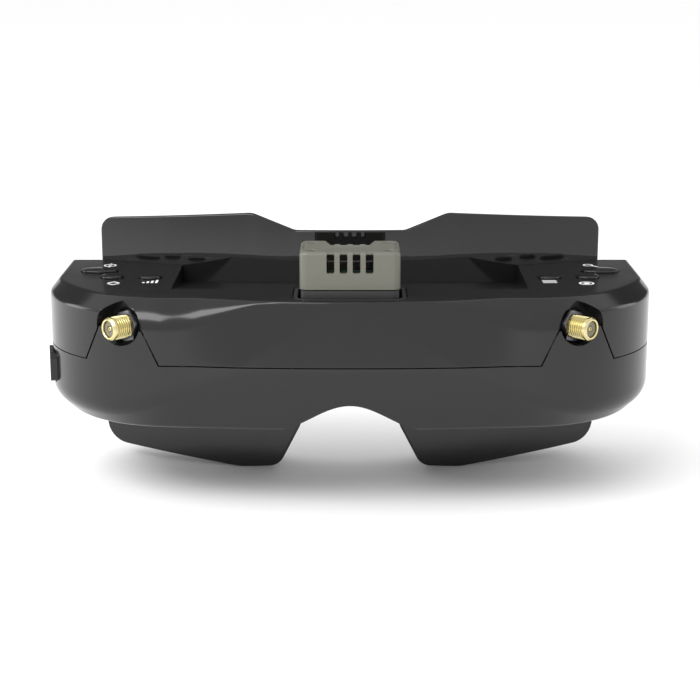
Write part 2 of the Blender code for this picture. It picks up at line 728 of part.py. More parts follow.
# ---- antenna jacks ----------------------------------------------------------------------------------------------
def build_jacks():
    for side, word in ((-1, "left"), (1, "right")):
        base, axis = jack_base(side), jack_axis(side)
        rings = int((THREAD_LENGTH - NUT_THICKNESS - 1.2 * MM) / THREAD_PITCH)
        profile = [(JACK_BORE_RADIUS, THREAD_LENGTH - JACK_BORE_LENGTH), (JACK_BORE_RADIUS, THREAD_LENGTH)]
        profile += [(THREAD_RADIUS - 0.45 * MM, THREAD_LENGTH), (THREAD_RADIUS, THREAD_LENGTH - 0.5 * MM)]
        for i in range(rings):
            z = THREAD_LENGTH - 0.7 * MM - i * THREAD_PITCH
            profile += [(THREAD_RADIUS, z), (THREAD_RADIUS - THREAD_DEPTH, z - THREAD_PITCH / 2)]
        tail = -POCKET_WALL - GAP
        profile += [
            (THREAD_RADIUS, NUT_THICKNESS + GAP),
            (THREAD_RADIUS, tail),
            (JACK_FLANGE_RADIUS, tail),
            (JACK_FLANGE_RADIUS, tail - JACK_FLANGE),
            (2.4 * MM, tail - JACK_FLANGE),
            (2.4 * MM, tail - JACK_FLANGE - JACK_TAIL),
            (0, tail - JACK_FLANGE - JACK_TAIL),
        ]
        profile = [(0, THREAD_LENGTH - JACK_BORE_LENGTH)] + profile
        piece(turned("jack", profile, base, axis), "antenna_jack_" + word, BRASS)

        nut = cylinder("nut", base + axis * GAP, base + axis * (GAP + NUT_THICKNESS), NUT_ACROSS / math.sqrt(3), 6)
        cut(nut, cylinder("nut_hole", base - axis * MM, base + axis * 5 * MM, THREAD_RADIUS + 0.12 * MM))
        piece(nut, "antenna_nut_" + word, BLACK_METAL)

        floor = base + axis * (THREAD_LENGTH - JACK_BORE_LENGTH)
        mouth = base + axis * (THREAD_LENGTH - 1.4 * MM)
        insulator = cylinder("insulator", floor + axis * 0.1 * MM, mouth, JACK_BORE_RADIUS - 0.1 * MM)
        contact = cylinder("contact", floor + axis * 0.4 * MM, mouth + axis * 0.5 * MM, CONTACT_RADIUS, 12)
        cut(insulator, cylinder("contact_hole", floor + axis * 0.3 * MM, mouth + axis * MM, CONTACT_RADIUS + 0.1 * MM, 12))
        piece(insulator, "antenna_insulator_" + word, INSULATOR)
        piece(contact, "antenna_contact_" + word, BRASS)


# ---- receiver module --------------------------------------------------------------------------------------------
def module_outline(grow=0.0):
    middle = depth(MODULE_FRONT + MODULE_DEPTH / 2)
    return rounded(
        rectangle(0, middle, MODULE_WIDTH + 2 * grow, MODULE_DEPTH + 2 * grow), max(0.7 * MM, MODULE_CORNER + grow), 4
    )


def build_module():
    front, rear = depth(MODULE_FRONT), depth(MODULE_FRONT + MODULE_DEPTH)
    middle = (front + rear) / 2
    cover = bevelled(prism("cover", module_outline(), MODULE_SKIRT_Z, MODULE_TOP_Z), MODULE_EDGE, 3, 50)
    hollow = prism("cover_hollow", module_outline(-MODULE_WALL), MODULE_SKIRT_Z - 5 * MM, MODULE_TOP_Z - MODULE_WALL - SCOOP_DEPTH)
    cut(cover, hollow)
    scoop = [
        (-SCOOP_FRONT_HALF, rear - SCOOP_LENGTH),
        (SCOOP_FRONT_HALF, rear - SCOOP_LENGTH),
        (SCOOP_REAR_HALF, rear + 2 * MM),
        (-SCOOP_REAR_HALF, rear + 2 * MM),
    ]
    ramp = prism("scoop", scoop, -3 * MM, 3 * MM)
    fall = math.atan2(SCOOP_DEPTH, SCOOP_LENGTH)
    hinge = Vector((0, rear - SCOOP_LENGTH, MODULE_TOP_Z))
    lift = Matrix.Translation((0, 0, 3 * MM + MODULE_TOP_Z))
    frozen(ramp, Matrix.Translation(hinge) @ Matrix.Rotation(-fall, 4, "X") @ Matrix.Translation(-hinge) @ lift)
    cut(cover, ramp)
    for i in range(VENT_COUNT):
        x = (i - (VENT_COUNT - 1) / 2) * VENT_PITCH
        for y, fall_z in ((front, VENT_HEIGHT), (rear, VENT_HEIGHT)):
            outline = rectangle(x, y, VENT_WIDTH, 2 * (MODULE_WALL + 0.4 * MM))
            cut(cover, prism("vent", outline, MODULE_TOP_Z - fall_z, MODULE_TOP_Z + MM))
    for i in range(GRIP_COUNT):
        y = middle + (i - (GRIP_COUNT - 1) / 2) * GRIP_PITCH
        for side in (-1, 1):
            edge = side * MODULE_WIDTH / 2
            low, high = (edge, y, MODULE_TOP_Z - 3 * MM), (edge, y, MODULE_TOP_Z + MM)
            cut(cover, cylinder("grip", low, high, GRIP_DEPTH, 8))
    screws = []
    for sx in (-1, 1):
        for y in (front + SCREW_INSET, rear - SCREW_INSET):
            x = sx * (MODULE_WIDTH / 2 - SCREW_INSET)
            head = (x, y, MODULE_TOP_Z - 0.25 * MM)
            foot = (x, y, MODULE_TOP_Z - 2.2 * MM)
            screws.append((foot, head))
            cut(cover, cylinder("screw_seat", (x, y, MODULE_TOP_Z - 2.5 * MM), (x, y, MODULE_TOP_Z + MM), MODULE_SCREW_RADIUS + 0.15 * MM, 16))
    for i, (foot, head) in enumerate(screws):
        piece(cylinder("screw", foot, head, MODULE_SCREW_RADIUS, 16), f"module_screw_{i + 1}", STEEL)
    piece(cover, "module_cover", MODULE_GREY)

    carrier = prism("carrier", module_outline(-GAP), MODULE_FLOOR_Z, MODULE_SKIRT_Z - GAP)
    well = prism("carrier_hollow", module_outline(-MODULE_WALL - GAP), MODULE_FLOOR_Z + MODULE_WALL, MODULE_SKIRT_Z + MM)
    cut(carrier, well)
    header = rectangle(0, middle, PIN_COUNT * PIN_PITCH + 1.2 * MM, 4 * MM)
    cut(carrier, prism("header_hole", header, MODULE_FLOOR_Z - MM, MODULE_FLOOR_Z + 3 * MM))
    piece(carrier, "module_carrier", INNER_BLACK)

    board_front = middle - 3.2 * MM
    board = box(
        "board",
        (-MODULE_WIDTH / 2 + 2.6 * MM, board_front, MODULE_FLOOR_Z + 4.5 * MM),
        (MODULE_WIDTH / 2 - 2.6 * MM, board_front + 1.2 * MM, MODULE_SKIRT_Z + 4 * MM),
    )
    chip = box("chip", (-6 * MM, board_front - 1.6 * MM, 50 * MM), (5 * MM, board_front + 0.4 * MM, 60 * MM))
    join(board, chip)
    piece(board, "module_board", BOARD_GREEN)

    plug = prism("plug", rectangle(0, middle, PIN_COUNT * PIN_PITCH, 2.6 * MM), MODULE_FLOOR_Z - 1.0 * MM, MODULE_FLOOR_Z + 4 * MM)
    for i in range(PIN_COUNT):
        x = (i - (PIN_COUNT - 1) / 2) * PIN_PITCH
        cut(plug, box("pin_hole", (x - 0.5 * MM, middle - 0.5 * MM, MODULE_FLOOR_Z - 3 * MM), (x + 0.5 * MM, middle + 0.5 * MM, MODULE_FLOOR_Z + 2.5 * MM)))
    piece(plug, "module_plug", INNER_BLACK)

    bay = prism("bay", module_outline(BAY_CLEARANCE + BAY_WALL), BAY_FLOOR_Z, DECK_Z)
    cut(bay, prism("bay_hollow", module_outline(BAY_CLEARANCE), BAY_FLOOR_Z + BAY_WALL, DECK_Z + 5 * MM))
    valley = depth(VALLEY_FRONT)
    slope = VALLEY_DROP / (PLATE_DEPTH - VALLEY_FRONT)
    profile = [(valley, DECK_Z), (rear + 9 * MM, DECK_Z - slope * (rear + 9 * MM - valley)), (rear + 9 * MM, 80 * MM), (valley, 80 * MM)]
    cut(bay, prism("bay_valley", profile, -60 * MM, 60 * MM, "X"))
    header = box("bay_header", (-PIN_COUNT * PIN_PITCH / 2, middle - 1.3 * MM, BAY_FLOOR_Z + 0.4 * MM), (PIN_COUNT * PIN_PITCH / 2, middle + 1.3 * MM, BAY_FLOOR_Z + BAY_WALL + 1.0 * MM))
    join(bay, header)
    for i in range(PIN_COUNT):
        x = (i - (PIN_COUNT - 1) / 2) * PIN_PITCH
        pin = box("pin", (x - 0.3 * MM, middle - 0.3 * MM, BAY_FLOOR_Z + 0.5 * MM), (x + 0.3 * MM, middle + 0.3 * MM, MODULE_FLOOR_Z + 1.5 * MM))
        join(bay, pin)
    piece(bay, "module_bay", INNER_BLACK)


# ---- optics and fan ---------------------------------------------------------------------------------------------
def build_optics():
    lug_low = RAIL_Z - RAIL_RADIUS - 1.0 * MM
    for side, word in ((-1, "left"), (1, "right")):
        x = side * EYE_X
        outline = rounded(rectangle(x, EYE_Z, EYE_WIDTH, EYE_HEIGHT), 2.2 * MM)
        barrel = prism("barrel", outline, depth(EYE_FRONT), depth(EYE_REAR), "Y")
        hollow = rounded(rectangle(x, EYE_Z, EYE_WIDTH - 2 * EYE_WALL, EYE_HEIGHT - 2 * EYE_WALL), 1.4 * MM)
        cut(barrel, prism("barrel_hollow", hollow, depth(EYE_FRONT) + EYE_WALL, depth(EYE_REAR) + MM, "Y"))
        low = (x - 4.5 * MM, depth(RAIL_DEPTH) - 3 * MM, lug_low)
        high = (x + 4.5 * MM, depth(RAIL_DEPTH) + 3 * MM, EYE_Z - EYE_HEIGHT / 2 + 0.8 * MM)
        join(barrel, box("lug", low, high))
        rail_at = lambda reach: (x + reach, depth(RAIL_DEPTH), RAIL_Z)
        cut(barrel, cylinder("rail_hole", rail_at(-10 * MM), rail_at(10 * MM), RAIL_RADIUS + RAIL_CLEARANCE, 16))
        piece(barrel, "eyepiece_" + word, INNER_BLACK)

        half = 16.5 * MM
        piece(cylinder("rail", rail_at(-half + 4 * MM * (side > 0)), rail_at(half - 4 * MM * (side < 0)), RAIL_RADIUS, 16), "ipd_rail_" + word, STEEL)

        inner_w, inner_h = EYE_WIDTH - 2 * EYE_WALL - 0.6 * MM, EYE_HEIGHT - 2 * EYE_WALL - 0.6 * MM
        panel = rounded(rectangle(x, EYE_Z, inner_w, inner_h), 1.0 * MM)
        start = depth(EYE_FRONT) + EYE_WALL + GAP
        piece(prism("panel", panel, start, start + DISPLAY_THICKNESS, "Y"), "display_" + word, GLASS_BLACK)

        lens = rounded(rectangle(x, EYE_Z, inner_w, inner_h), 3.5 * MM, 5)
        rear = depth(EYE_REAR) - 0.6 * MM
        glass = bevelled(prism("lens", lens, rear - LENS_THICKNESS, rear, "Y"), 1.3 * MM, 3, 50)
        piece(glass, "eye_lens_" + word, LENS)

        knob = rounded(rectangle(x, depth(RAIL_DEPTH), KNOB_LENGTH, KNOB_DEPTH), 1.0 * MM, 3)
        made = prism("knob", knob, BASE_Z - GAP - KNOB_DROP, BASE_Z - GAP)
        for i in range(4):
            groove = x + (i - 1.5) * 2 * MM
            at = (groove, depth(RAIL_DEPTH) - 4 * MM, BASE_Z - GAP - KNOB_DROP)
            to = (groove, depth(RAIL_DEPTH) + 4 * MM, BASE_Z - GAP - KNOB_DROP)
            cut(made, cylinder("knob_groove", at, to, 0.45 * MM, 8))
        neck = rectangle(x, depth(RAIL_DEPTH), KNOB_NECK, KNOB_NECK)
        join(made, prism("neck", neck, BASE_Z - GAP - 0.5 * MM, lug_low - GAP))
        piece(made, "ipd_knob_" + word, INNER_BLACK)

    half = FAN_SIZE / 2
    front, rear = depth(FAN_DEPTH), depth(FAN_DEPTH) + FAN_THICKNESS
    fan_frame = prism("fan_frame", rounded(rectangle(0, FAN_Z, FAN_SIZE, FAN_SIZE), 1.5 * MM), front, rear, "Y")
    cut(fan_frame, cylinder("fan_bore", (0, front - MM, FAN_Z), (0, rear - 0.8 * MM, FAN_Z), half - 0.8 * MM, 32))
    cut(fan_frame, cylinder("fan_mouth", (0, rear - 2 * MM, FAN_Z), (0, rear + MM, FAN_Z), half - 1.6 * MM, 32))
    spoke = prism("fan_spoke", rectangle(0, FAN_Z, FAN_SIZE - 2 * MM, 1.2 * MM), rear - 0.8 * MM, rear, "Y")
    upright = prism("fan_upright", rectangle(0, FAN_Z, 1.2 * MM, FAN_SIZE - 2 * MM), rear - 0.8 * MM, rear, "Y")
    seat = cylinder("fan_seat", (0, rear - 0.8 * MM, FAN_Z), (0, rear, FAN_Z), 2.4 * MM, 16)
    join(fan_frame, spoke, upright, seat)
    piece(fan_frame, "fan_frame", INNER_BLACK)

    rotor = cylinder("rotor", (0, front + 0.3 * MM, FAN_Z), (0, rear - 1.1 * MM, FAN_Z), 2.6 * MM, 24)
    for i in range(FAN_BLADES):
        blade = box("blade", (-0.3 * MM, front + 0.6 * MM, 2.0 * MM), (0.3 * MM, rear - 1.5 * MM, half - 1.2 * MM))
        pitch = Matrix.Rotation(math.radians(28), 4, "Z")
        around = Matrix.Rotation(2 * math.pi * i / FAN_BLADES, 4, "Y")
        centre = Vector((0, (front + rear) / 2, 0))
        frozen(blade, Matrix.Translation((0, 0, FAN_Z)) @ around @ Matrix.Translation(centre) @ pitch @ Matrix.Translation(-centre))
        join(rotor, blade)
    keep(rotor, cylinder("rotor_limit", (0, front + 0.3 * MM, FAN_Z), (0, rear - 1.1 * MM, FAN_Z), half - 1.1 * MM, 32))
    piece(rotor, "fan_rotor", INNER_BLACK)

    board = box("main", (-46 * MM, depth(8 * MM), 34.2 * MM), (46 * MM, depth(25 * MM), 35.6 * MM))
    join(board, box("chip", (-34 * MM, depth(11 * MM), 35 * MM), (-22 * MM, depth(22 * MM), 37 * MM)))
    join(board, box("memory", (24 * MM, depth(12 * MM), 35 * MM), (33 * MM, depth(20 * MM), 36.8 * MM)))
    piece(board, "main_board", BOARD_GREEN)


# ---- controls ---------------------------------------------------------------------------------------------------
def build_controls():
    under = DECK_Z - WALL - GAP
    foot = DECK_Z - BUTTON_STEM
    for side in (-1, 1):
        for name, (inward, d, half_length, half_width) in BUTTONS.items():
            x = side * (HALF_WIDTH - inward)
            outline = button_outline(x, d, half_length, half_width)
            cap = bevelled(prism("cap", outline, foot, DECK_Z + BUTTON_PROUD), 0.5 * MM, 2, 60)
            flange = button_outline(x, d, half_length, half_width, BUTTON_FLANGE)
            join(cap, prism("flange", flange, under - BUTTON_FLANGE_THICKNESS, under))
            piece(cap, name if side < 0 else RIGHT_NAMES[name], RUBBER)
        word = "left" if side < 0 else "right"
        top = foot - BUTTON_TRAVEL - GAP
        outline = rounded(rectangle(side * (HALF_WIDTH - 20.1 * MM), depth(40 * MM), 23 * MM, 18 * MM), 3 * MM)
        board = prism("switch_board", outline, top - 2.6 * MM, top - 1.4 * MM)
        for inward, d, _, _ in BUTTONS.values():
            at = rectangle(side * (HALF_WIDTH - inward), depth(d), 4.4 * MM, 3.6 * MM)
            join(board, prism("switch", at, top - 1.6 * MM, top))
        piece(board, "control_board_" + word, BOARD_GREEN)

    switch = switch_block("switch", 0.0, POWER_PROUD - POWER_THICKNESS, POWER_PROUD)
    bevelled(switch, 0.5 * MM, 2, 60)
    piece(switch, "power_button", RUBBER)
    backing = switch_block("switch_back", 1.2 * MM, POWER_PROUD - POWER_THICKNESS - POWER_TRAVEL - 2.2 * MM, POWER_PROUD - POWER_THICKNESS - POWER_TRAVEL - GAP)
    piece(backing, "power_switch", INNER_BLACK)


# ---- sockets and fasteners in the base -----------------------------------------------------------------------------
def socket_outlines(grow=0.0):
    def at(place, width, length, radius):
        return rounded(rectangle(place[0], depth(place[1]), width + 2 * grow, length + 2 * grow), radius, 3)

    return {
        "dc_jack": at(DC_JACK, 9 * MM, 9 * MM, 1.5 * MM),
        "av_jack": at(AV_JACK, 6.4 * MM, 6.4 * MM, 2.4 * MM),
        "hdmi_port": at(HDMI_PORT, 15 * MM, 5.6 * MM, 0.8 * MM),
        "card_slot": at(CARD_SLOT, 3 * MM, 13 * MM, 0.6 * MM),
    }


def build_base():
    outlines = socket_outlines()
    depths = {"dc_jack": 7.5 * MM, "av_jack": 9 * MM, "hdmi_port": 8.5 * MM, "card_slot": 9 * MM}
    sockets = {name: prism(name, outline, BASE_Z + 0.2 * MM, BASE_Z + depths[name]) for name, outline in outlines.items()}
    low = BASE_Z - MM

    x, y = DC_JACK[0], depth(DC_JACK[1])
    cut(sockets["dc_jack"], cylinder("dc_bore", (x, y, low), (x, y, BASE_Z + 6 * MM), 2.9 * MM))
    join(sockets["dc_jack"], cylinder("dc_pin", (x, y, BASE_Z + 1.5 * MM), (x, y, BASE_Z + 6.5 * MM), 1.0 * MM, 12))
    x, y = AV_JACK[0], depth(AV_JACK[1])
    cut(sockets["av_jack"], cylinder("av_bore", (x, y, low), (x, y, BASE_Z + 7.5 * MM), 1.8 * MM))
    x, y = HDMI_PORT[0], depth(HDMI_PORT[1])
    cut(sockets["hdmi_port"], prism("hdmi_bore", rectangle(x, y, 13.9 * MM, 4.5 * MM), low, BASE_Z + 7 * MM))
    join(sockets["hdmi_port"], prism("hdmi_tongue", rectangle(x, y, 11 * MM, 1.2 * MM), BASE_Z + 1.5 * MM, BASE_Z + 7.5 * MM))
    x, y = CARD_SLOT[0], depth(CARD_SLOT[1])
    cut(sockets["card_slot"], prism("card_bore", rectangle(x, y, 1.4 * MM, 11.4 * MM), low, BASE_Z + 8 * MM))

    for name, finish in (("dc_jack", INNER_BLACK), ("av_jack", INNER_BLACK), ("hdmi_port", STEEL), ("card_slot", STEEL)):
        piece(sockets[name], name, finish)

    for i, (x, d) in enumerate(CASE_SCREWS):
        screw = cylinder("case_screw", (x, depth(d), BASE_Z + 0.2 * MM), (x, depth(d), BASE_Z + 1.6 * MM), CASE_SCREW_RADIUS, 16)
        join(screw, cylinder("shank", (x, depth(d), BASE_Z + MM), (x, depth(d), BASE_Z + 7 * MM), 1.0 * MM, 12))
        piece(screw, f"case_screw_{i + 1}", STEEL)


def strap_block(name, side, grow=0.0):
    x = side * (HALF_WIDTH - WALL - 2.6 * MM)
    front = depth(SIDE_DEPTH - 6 * MM)
    rear = front + 2 * STRAP_BAR + STRAP_SLOT + 4 * MM
    height = STRAP_WIDTH + 2 * STRAP_BAR + 2 * grow
    outline = rounded(rectangle((front + rear) / 2, STRAP_Z, rear - front, height), 2 * MM)
    return prism(name, outline, x - MM - grow, x + MM + grow, "X"), x, rear


def build_straps():
    """A loop at each side, screwed behind the housing's wall, that a head strap passes through."""
    for side, word in ((-1, "left"), (1, "right")):
        loop, x, rear = strap_block("loop", side)
        slot = rounded(rectangle(rear - STRAP_BAR - STRAP_SLOT / 2, STRAP_Z, STRAP_SLOT, STRAP_WIDTH), 1.2 * MM)
        cut(loop, prism("loop_slot", slot, x - 4 * MM, x + 4 * MM, "X"))
        piece(bevelled(loop, 0.4 * MM, 1, 50), "strap_loop_" + word, INNER_BLACK)


for leftover in list(bpy.data.objects):
    bpy.data.objects.remove(leftover)
PARTS = collection("fpv_goggles")
CUTTERS = collection("cutters", hidden=True)

SHELL_BLACK = material("shell_black", (0.022, 0.022, 0.022), 0.32)
INNER_BLACK = material("inner_black", (0.015, 0.015, 0.015), 0.5)
MODULE_GREY = material("module_grey", (0.17, 0.17, 0.14), 0.45)
RUBBER = material("rubber_black", (0.02, 0.02, 0.02), 0.6)
FOAM = material("foam_black", (0.02, 0.02, 0.02), 0.95)
BRASS = material("brass", (0.72, 0.58, 0.24), 0.25, 1.0)
BLACK_METAL = material("black_metal", (0.05, 0.05, 0.055), 0.35, 1.0)
STEEL = material("steel", (0.45, 0.45, 0.46), 0.3, 1.0)
INSULATOR = material("insulator", (0.33, 0.3, 0.22), 0.5)
BOARD_GREEN = material("board_green", (0.02, 0.12, 0.05), 0.4)
GLASS_BLACK = material("glass_black", (0.01, 0.01, 0.012), 0.05)
LENS = material("lens", (0.5, 0.55, 0.6), 0.02)

build_housing()
build_faceplate()
build_jacks()
build_module()
build_optics()
build_controls()
build_base()
build_straps()
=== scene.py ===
"""The looks of the video goggles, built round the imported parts.

Lengths are metres in the parts' own frame: +Z is up as worn and the goggles' front faces -Y.
"""

import math

import bpy
from mathutils import Matrix, Vector


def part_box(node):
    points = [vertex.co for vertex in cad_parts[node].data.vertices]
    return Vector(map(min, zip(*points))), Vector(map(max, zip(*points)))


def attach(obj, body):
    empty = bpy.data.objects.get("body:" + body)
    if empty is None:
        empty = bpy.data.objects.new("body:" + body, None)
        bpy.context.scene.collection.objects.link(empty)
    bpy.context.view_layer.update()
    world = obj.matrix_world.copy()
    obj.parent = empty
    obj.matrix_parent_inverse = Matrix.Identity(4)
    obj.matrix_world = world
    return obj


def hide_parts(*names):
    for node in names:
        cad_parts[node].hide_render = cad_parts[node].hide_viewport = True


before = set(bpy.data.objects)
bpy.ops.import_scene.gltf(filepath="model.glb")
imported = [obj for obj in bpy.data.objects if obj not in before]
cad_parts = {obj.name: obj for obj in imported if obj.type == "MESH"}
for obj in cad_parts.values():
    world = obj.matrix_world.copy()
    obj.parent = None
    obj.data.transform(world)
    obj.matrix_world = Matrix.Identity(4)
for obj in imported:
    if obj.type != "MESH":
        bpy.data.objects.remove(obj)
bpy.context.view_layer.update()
MM = 0.001

FRONT_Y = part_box("lower_shell")[0].y  # foremost point of the casing
BASE_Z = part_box("lower_shell")[0].z
DECK_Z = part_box("upper_shell")[1].z
HALF_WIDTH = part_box("lower_shell")[1].x
REAR_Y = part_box("lower_shell")[1].y
SEAM_Z = 42.1 * MM  # the parting line between the two casings
FRONT_RADIUS, FRONT_HALF, CORNER_RADIUS = 450 * MM, 52 * MM, 38 * MM
WALL, GAP = 1.8 * MM, 0.3 * MM
PLATE_RADIUS, PLATE_LEAN, PLATE_MID_Z = 190 * MM, math.radians(3), 42 * MM
PLATE_Y = FRONT_Y + 48 * MM
PLATE_HALF = 74.6 * MM
JACK = Vector((59.4 * MM, FRONT_Y + 8.4 * MM, 52.2 * MM))
JACK_YAW = math.radians(46)
JACK_BOSS, JACK_POCKET, JACK_SCOOP = 8.3 * MM, 5.1 * MM, 6.9 * MM  # radii
POWER_TURN, POWER_DEPTH, POWER_Z = math.radians(10), 32 * MM, 35.9 * MM
POWER_LENGTH, POWER_HEIGHT, POWER_CORNER = 12 * MM, 8.4 * MM, 1.8 * MM
BUTTON_GAP = 0.35 * MM
SIDES = {-1: "left", 1: "right"}
SCREW_COUNT = 4  # of each kind
WINDOW_X, WINDOW_Z, WINDOW_WIDTH, WINDOW_HEIGHT = 33.25 * MM, 39.75 * MM, 41.5 * MM, 25.5 * MM
MODULE_WIDTH, MODULE_DEPTH, MODULE_TOP, MODULE_SKIRT = 27.2 * MM, 18.5 * MM, 72.5 * MM, 62.2 * MM


def deep(distance):
    """The Y of a depth in millimetres behind the casing's foremost point."""
    return FRONT_Y + distance * MM


def in_mm(*points):
    """Points given in millimetres."""
    return [tuple(value * MM for value in point) for point in points]


def middle_of(node):
    """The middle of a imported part's box."""
    low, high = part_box(node)
    return tuple((a + b) / 2 for a, b in zip(low, high))


# ---- handling ------------------------------------------------------------------------------------
def pick(obj):
    """Selects this object alone."""
    if bpy.context.object and bpy.context.object.mode != "OBJECT":
        bpy.ops.object.mode_set(mode="OBJECT")
    bpy.ops.object.select_all(action="DESELECT")
    obj.select_set(True)
    bpy.context.view_layer.objects.active = obj


def settle(obj, name=None):
    """Puts the object's place into its mesh."""
    pick(obj)
    bpy.ops.object.transform_apply(location=True, rotation=True, scale=True)
    if name:
        obj.name = obj.data.name = name
    return obj


def modify(obj, kind, **settings):
    """Adds a modifier and applies it."""
    pick(obj)
    modifier = obj.modifiers.new(kind.lower(), kind)
    for key, value in settings.items():
        setattr(modifier, key, value)
    bpy.ops.object.modifier_apply(modifier=modifier.name)
    return obj


def in_edit(obj, *steps):
    """Runs edit-mode steps on the whole of an object."""
    pick(obj)
    bpy.ops.object.mode_set(mode="EDIT")
    bpy.ops.mesh.select_all(action="SELECT")
    for step in steps:
        step()
    bpy.ops.object.mode_set(mode="OBJECT")
    return obj


def outwards(obj):
    return in_edit(
        obj,
        lambda: bpy.ops.mesh.remove_doubles(threshold=1e-6),
        lambda: bpy.ops.mesh.normals_make_consistent(inside=False),
    )


def from_points(name, points, edges=(), faces=()):
    """A new object with a mesh of these points, edges and faces."""
    mesh = bpy.data.meshes.new(name)
    mesh.from_pydata(points, edges, faces)
    obj = bpy.data.objects.new(name, mesh)
    bpy.context.scene.collection.objects.link(obj)
    return obj


def stand(obj, axis):
    """Turns an object that stands along Z to stand along an axis."""
    obj.rotation_mode = "QUATERNION"
    obj.rotation_quaternion = Vector((0, 0, 1)).rotation_difference(Vector(axis))


def block(low, high):
    low, high = Vector(low), Vector(high)
    bpy.ops.mesh.primitive_cube_add(size=1, location=(low + high) / 2)
    obj = bpy.context.object
    obj.scale = high - low
    return settle(obj)


def rod(start, end, radius, sides=48, tip=None, name="rod"):
    start, end = Vector(start), Vector(end)
    bpy.ops.mesh.primitive_cone_add(
        vertices=sides,
        radius1=radius,
        radius2=radius if tip is None else tip,
        depth=(end - start).length,
        location=(start + end) / 2,
    )
    obj = bpy.context.object
    stand(obj, end - start)
    return settle(obj, name)


def slab(outline, low, high, axis="Z", name="slab"):
    """An outline filled and extruded along an axis: Z takes (x, y), Y takes (x, z) and X (y, z)."""
    lay = {
        "Z": lambda a, b: (a, b, low),
        "Y": lambda a, b: (a, low, b),
        "X": lambda a, b: (low, a, b),
    }[axis]
    along = Vector([axis == letter for letter in "XYZ"]) * (high - low)
    obj = from_points(name, [lay(a, b) for a, b in outline], faces=[range(len(outline))])
    in_edit(
        obj,
        lambda: bpy.ops.mesh.extrude_region_move(TRANSFORM_OT_translate={"value": along}),
    )
    return outwards(obj)


def turned(profile, base, axis, sides=64, name="turned"):
    """A profile of (radius, distance along the axis) spun about the axis."""
    edges = [(i, i + 1) for i in range(len(profile) - 1)]
    obj = from_points(name, [(r, 0, z) for r, z in profile], edges)
    in_edit(
        obj,
        lambda: bpy.ops.mesh.spin(steps=sides, angle=2 * math.pi, center=(0, 0, 0), axis=(0, 0, 1)),
    )
    stand(obj, axis)
    obj.location = base
    settle(obj)
    return outwards(obj)


def combine(obj, operation, tools):
    for tool in tools:
        modify(obj, "BOOLEAN", operation=operation, solver="EXACT", object=tool)
        in_edit(obj, lambda: bpy.ops.mesh.remove_doubles(threshold=1e-6))
    for tool in tools:
        bpy.data.objects.remove(tool)
    return obj


def cut(obj, *tools):
    return combine(obj, "DIFFERENCE", tools)


def keep(obj, *tools):
    return combine(obj, "INTERSECT", tools)


def twin(obj, name):
    made = obj.copy()
    made.data = obj.data.copy()
    bpy.context.scene.collection.objects.link(made)
    made.name = made.data.name = name
    return made


def soften(obj, width, segments=2, angle=30):
    """Rounds the edges that turn by more than an angle, and shades the rest smooth."""
    modify(
        obj,
        "BEVEL",
        width=width,
        segments=segments,
        limit_method="ANGLE",
        angle_limit=math.radians(angle),
        use_clamp_overlap=True,
        miter_outer="MITER_ARC",
    )
    return smooth(obj, angle)


def smooth(obj, angle=30):
    pick(obj)
    bpy.ops.object.shade_smooth_by_angle(angle=math.radians(angle))
    modify(obj, "WEIGHTED_NORMAL", keep_sharp=True, weight=60)
    return obj


def rounded(corners, radius, steps=6):
    """An outline's corners replaced by arcs. A corner is (x, y) or (x, y, its own radius)."""
    points = []
    for i, corner in enumerate(corners):
        here = Vector(corner[:2])
        size = corner[2] if len(corner) > 2 else radius
        before = (Vector(corners[i - 1][:2]) - here).normalized()
        after = (Vector(corners[(i + 1) % len(corners)][:2]) - here).normalized()
        half = before.angle(after) / 2
        if size <= 0 or half > math.radians(89):
            points.append(tuple(here))
            continue
        start = here + before * size / math.tan(half)
        centre = here + (before + after).normalized() * size / math.sin(half)
        sweep = (start - centre).angle_signed(here + after * size / math.tan(half) - centre)
        for k in range(steps + 1):
            arm = start - centre
            arm.rotate(Matrix.Rotation(-sweep * k / steps, 2))
            points.append(tuple(centre + arm))
    return points


def oblong(cx, cy, width, height, radius=0.0, steps=6):
    w, h = width / 2, height / 2
    corners = [(cx - w, cy - h), (cx + w, cy - h), (cx + w, cy + h), (cx - w, cy + h)]
    return rounded(corners, radius, steps)


def ellipse(cx, cy, a, b, steps=64):
    turns = [2 * math.pi * i / steps for i in range(steps)]
    return [(cx + a * math.cos(t), cy + b * math.sin(t)) for t in turns]


def sliced(obj, normal, places):
    """Adds an edge loop where the object crosses each of these distances along a direction."""
    for where in places:
        spot = Vector(normal) * where
        in_edit(obj, lambda: bpy.ops.mesh.bisect(plane_co=spot, plane_no=normal))
    return obj


def place(obj, body, finish, *nodes, slot=None):
    """Gives a finished piece its material, the body it moves with and the parts it stands for."""
    obj.data.materials.clear()
    obj.data.materials.append(finish)
    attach(obj, body)
    if nodes:
        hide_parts(*nodes)
    return obj


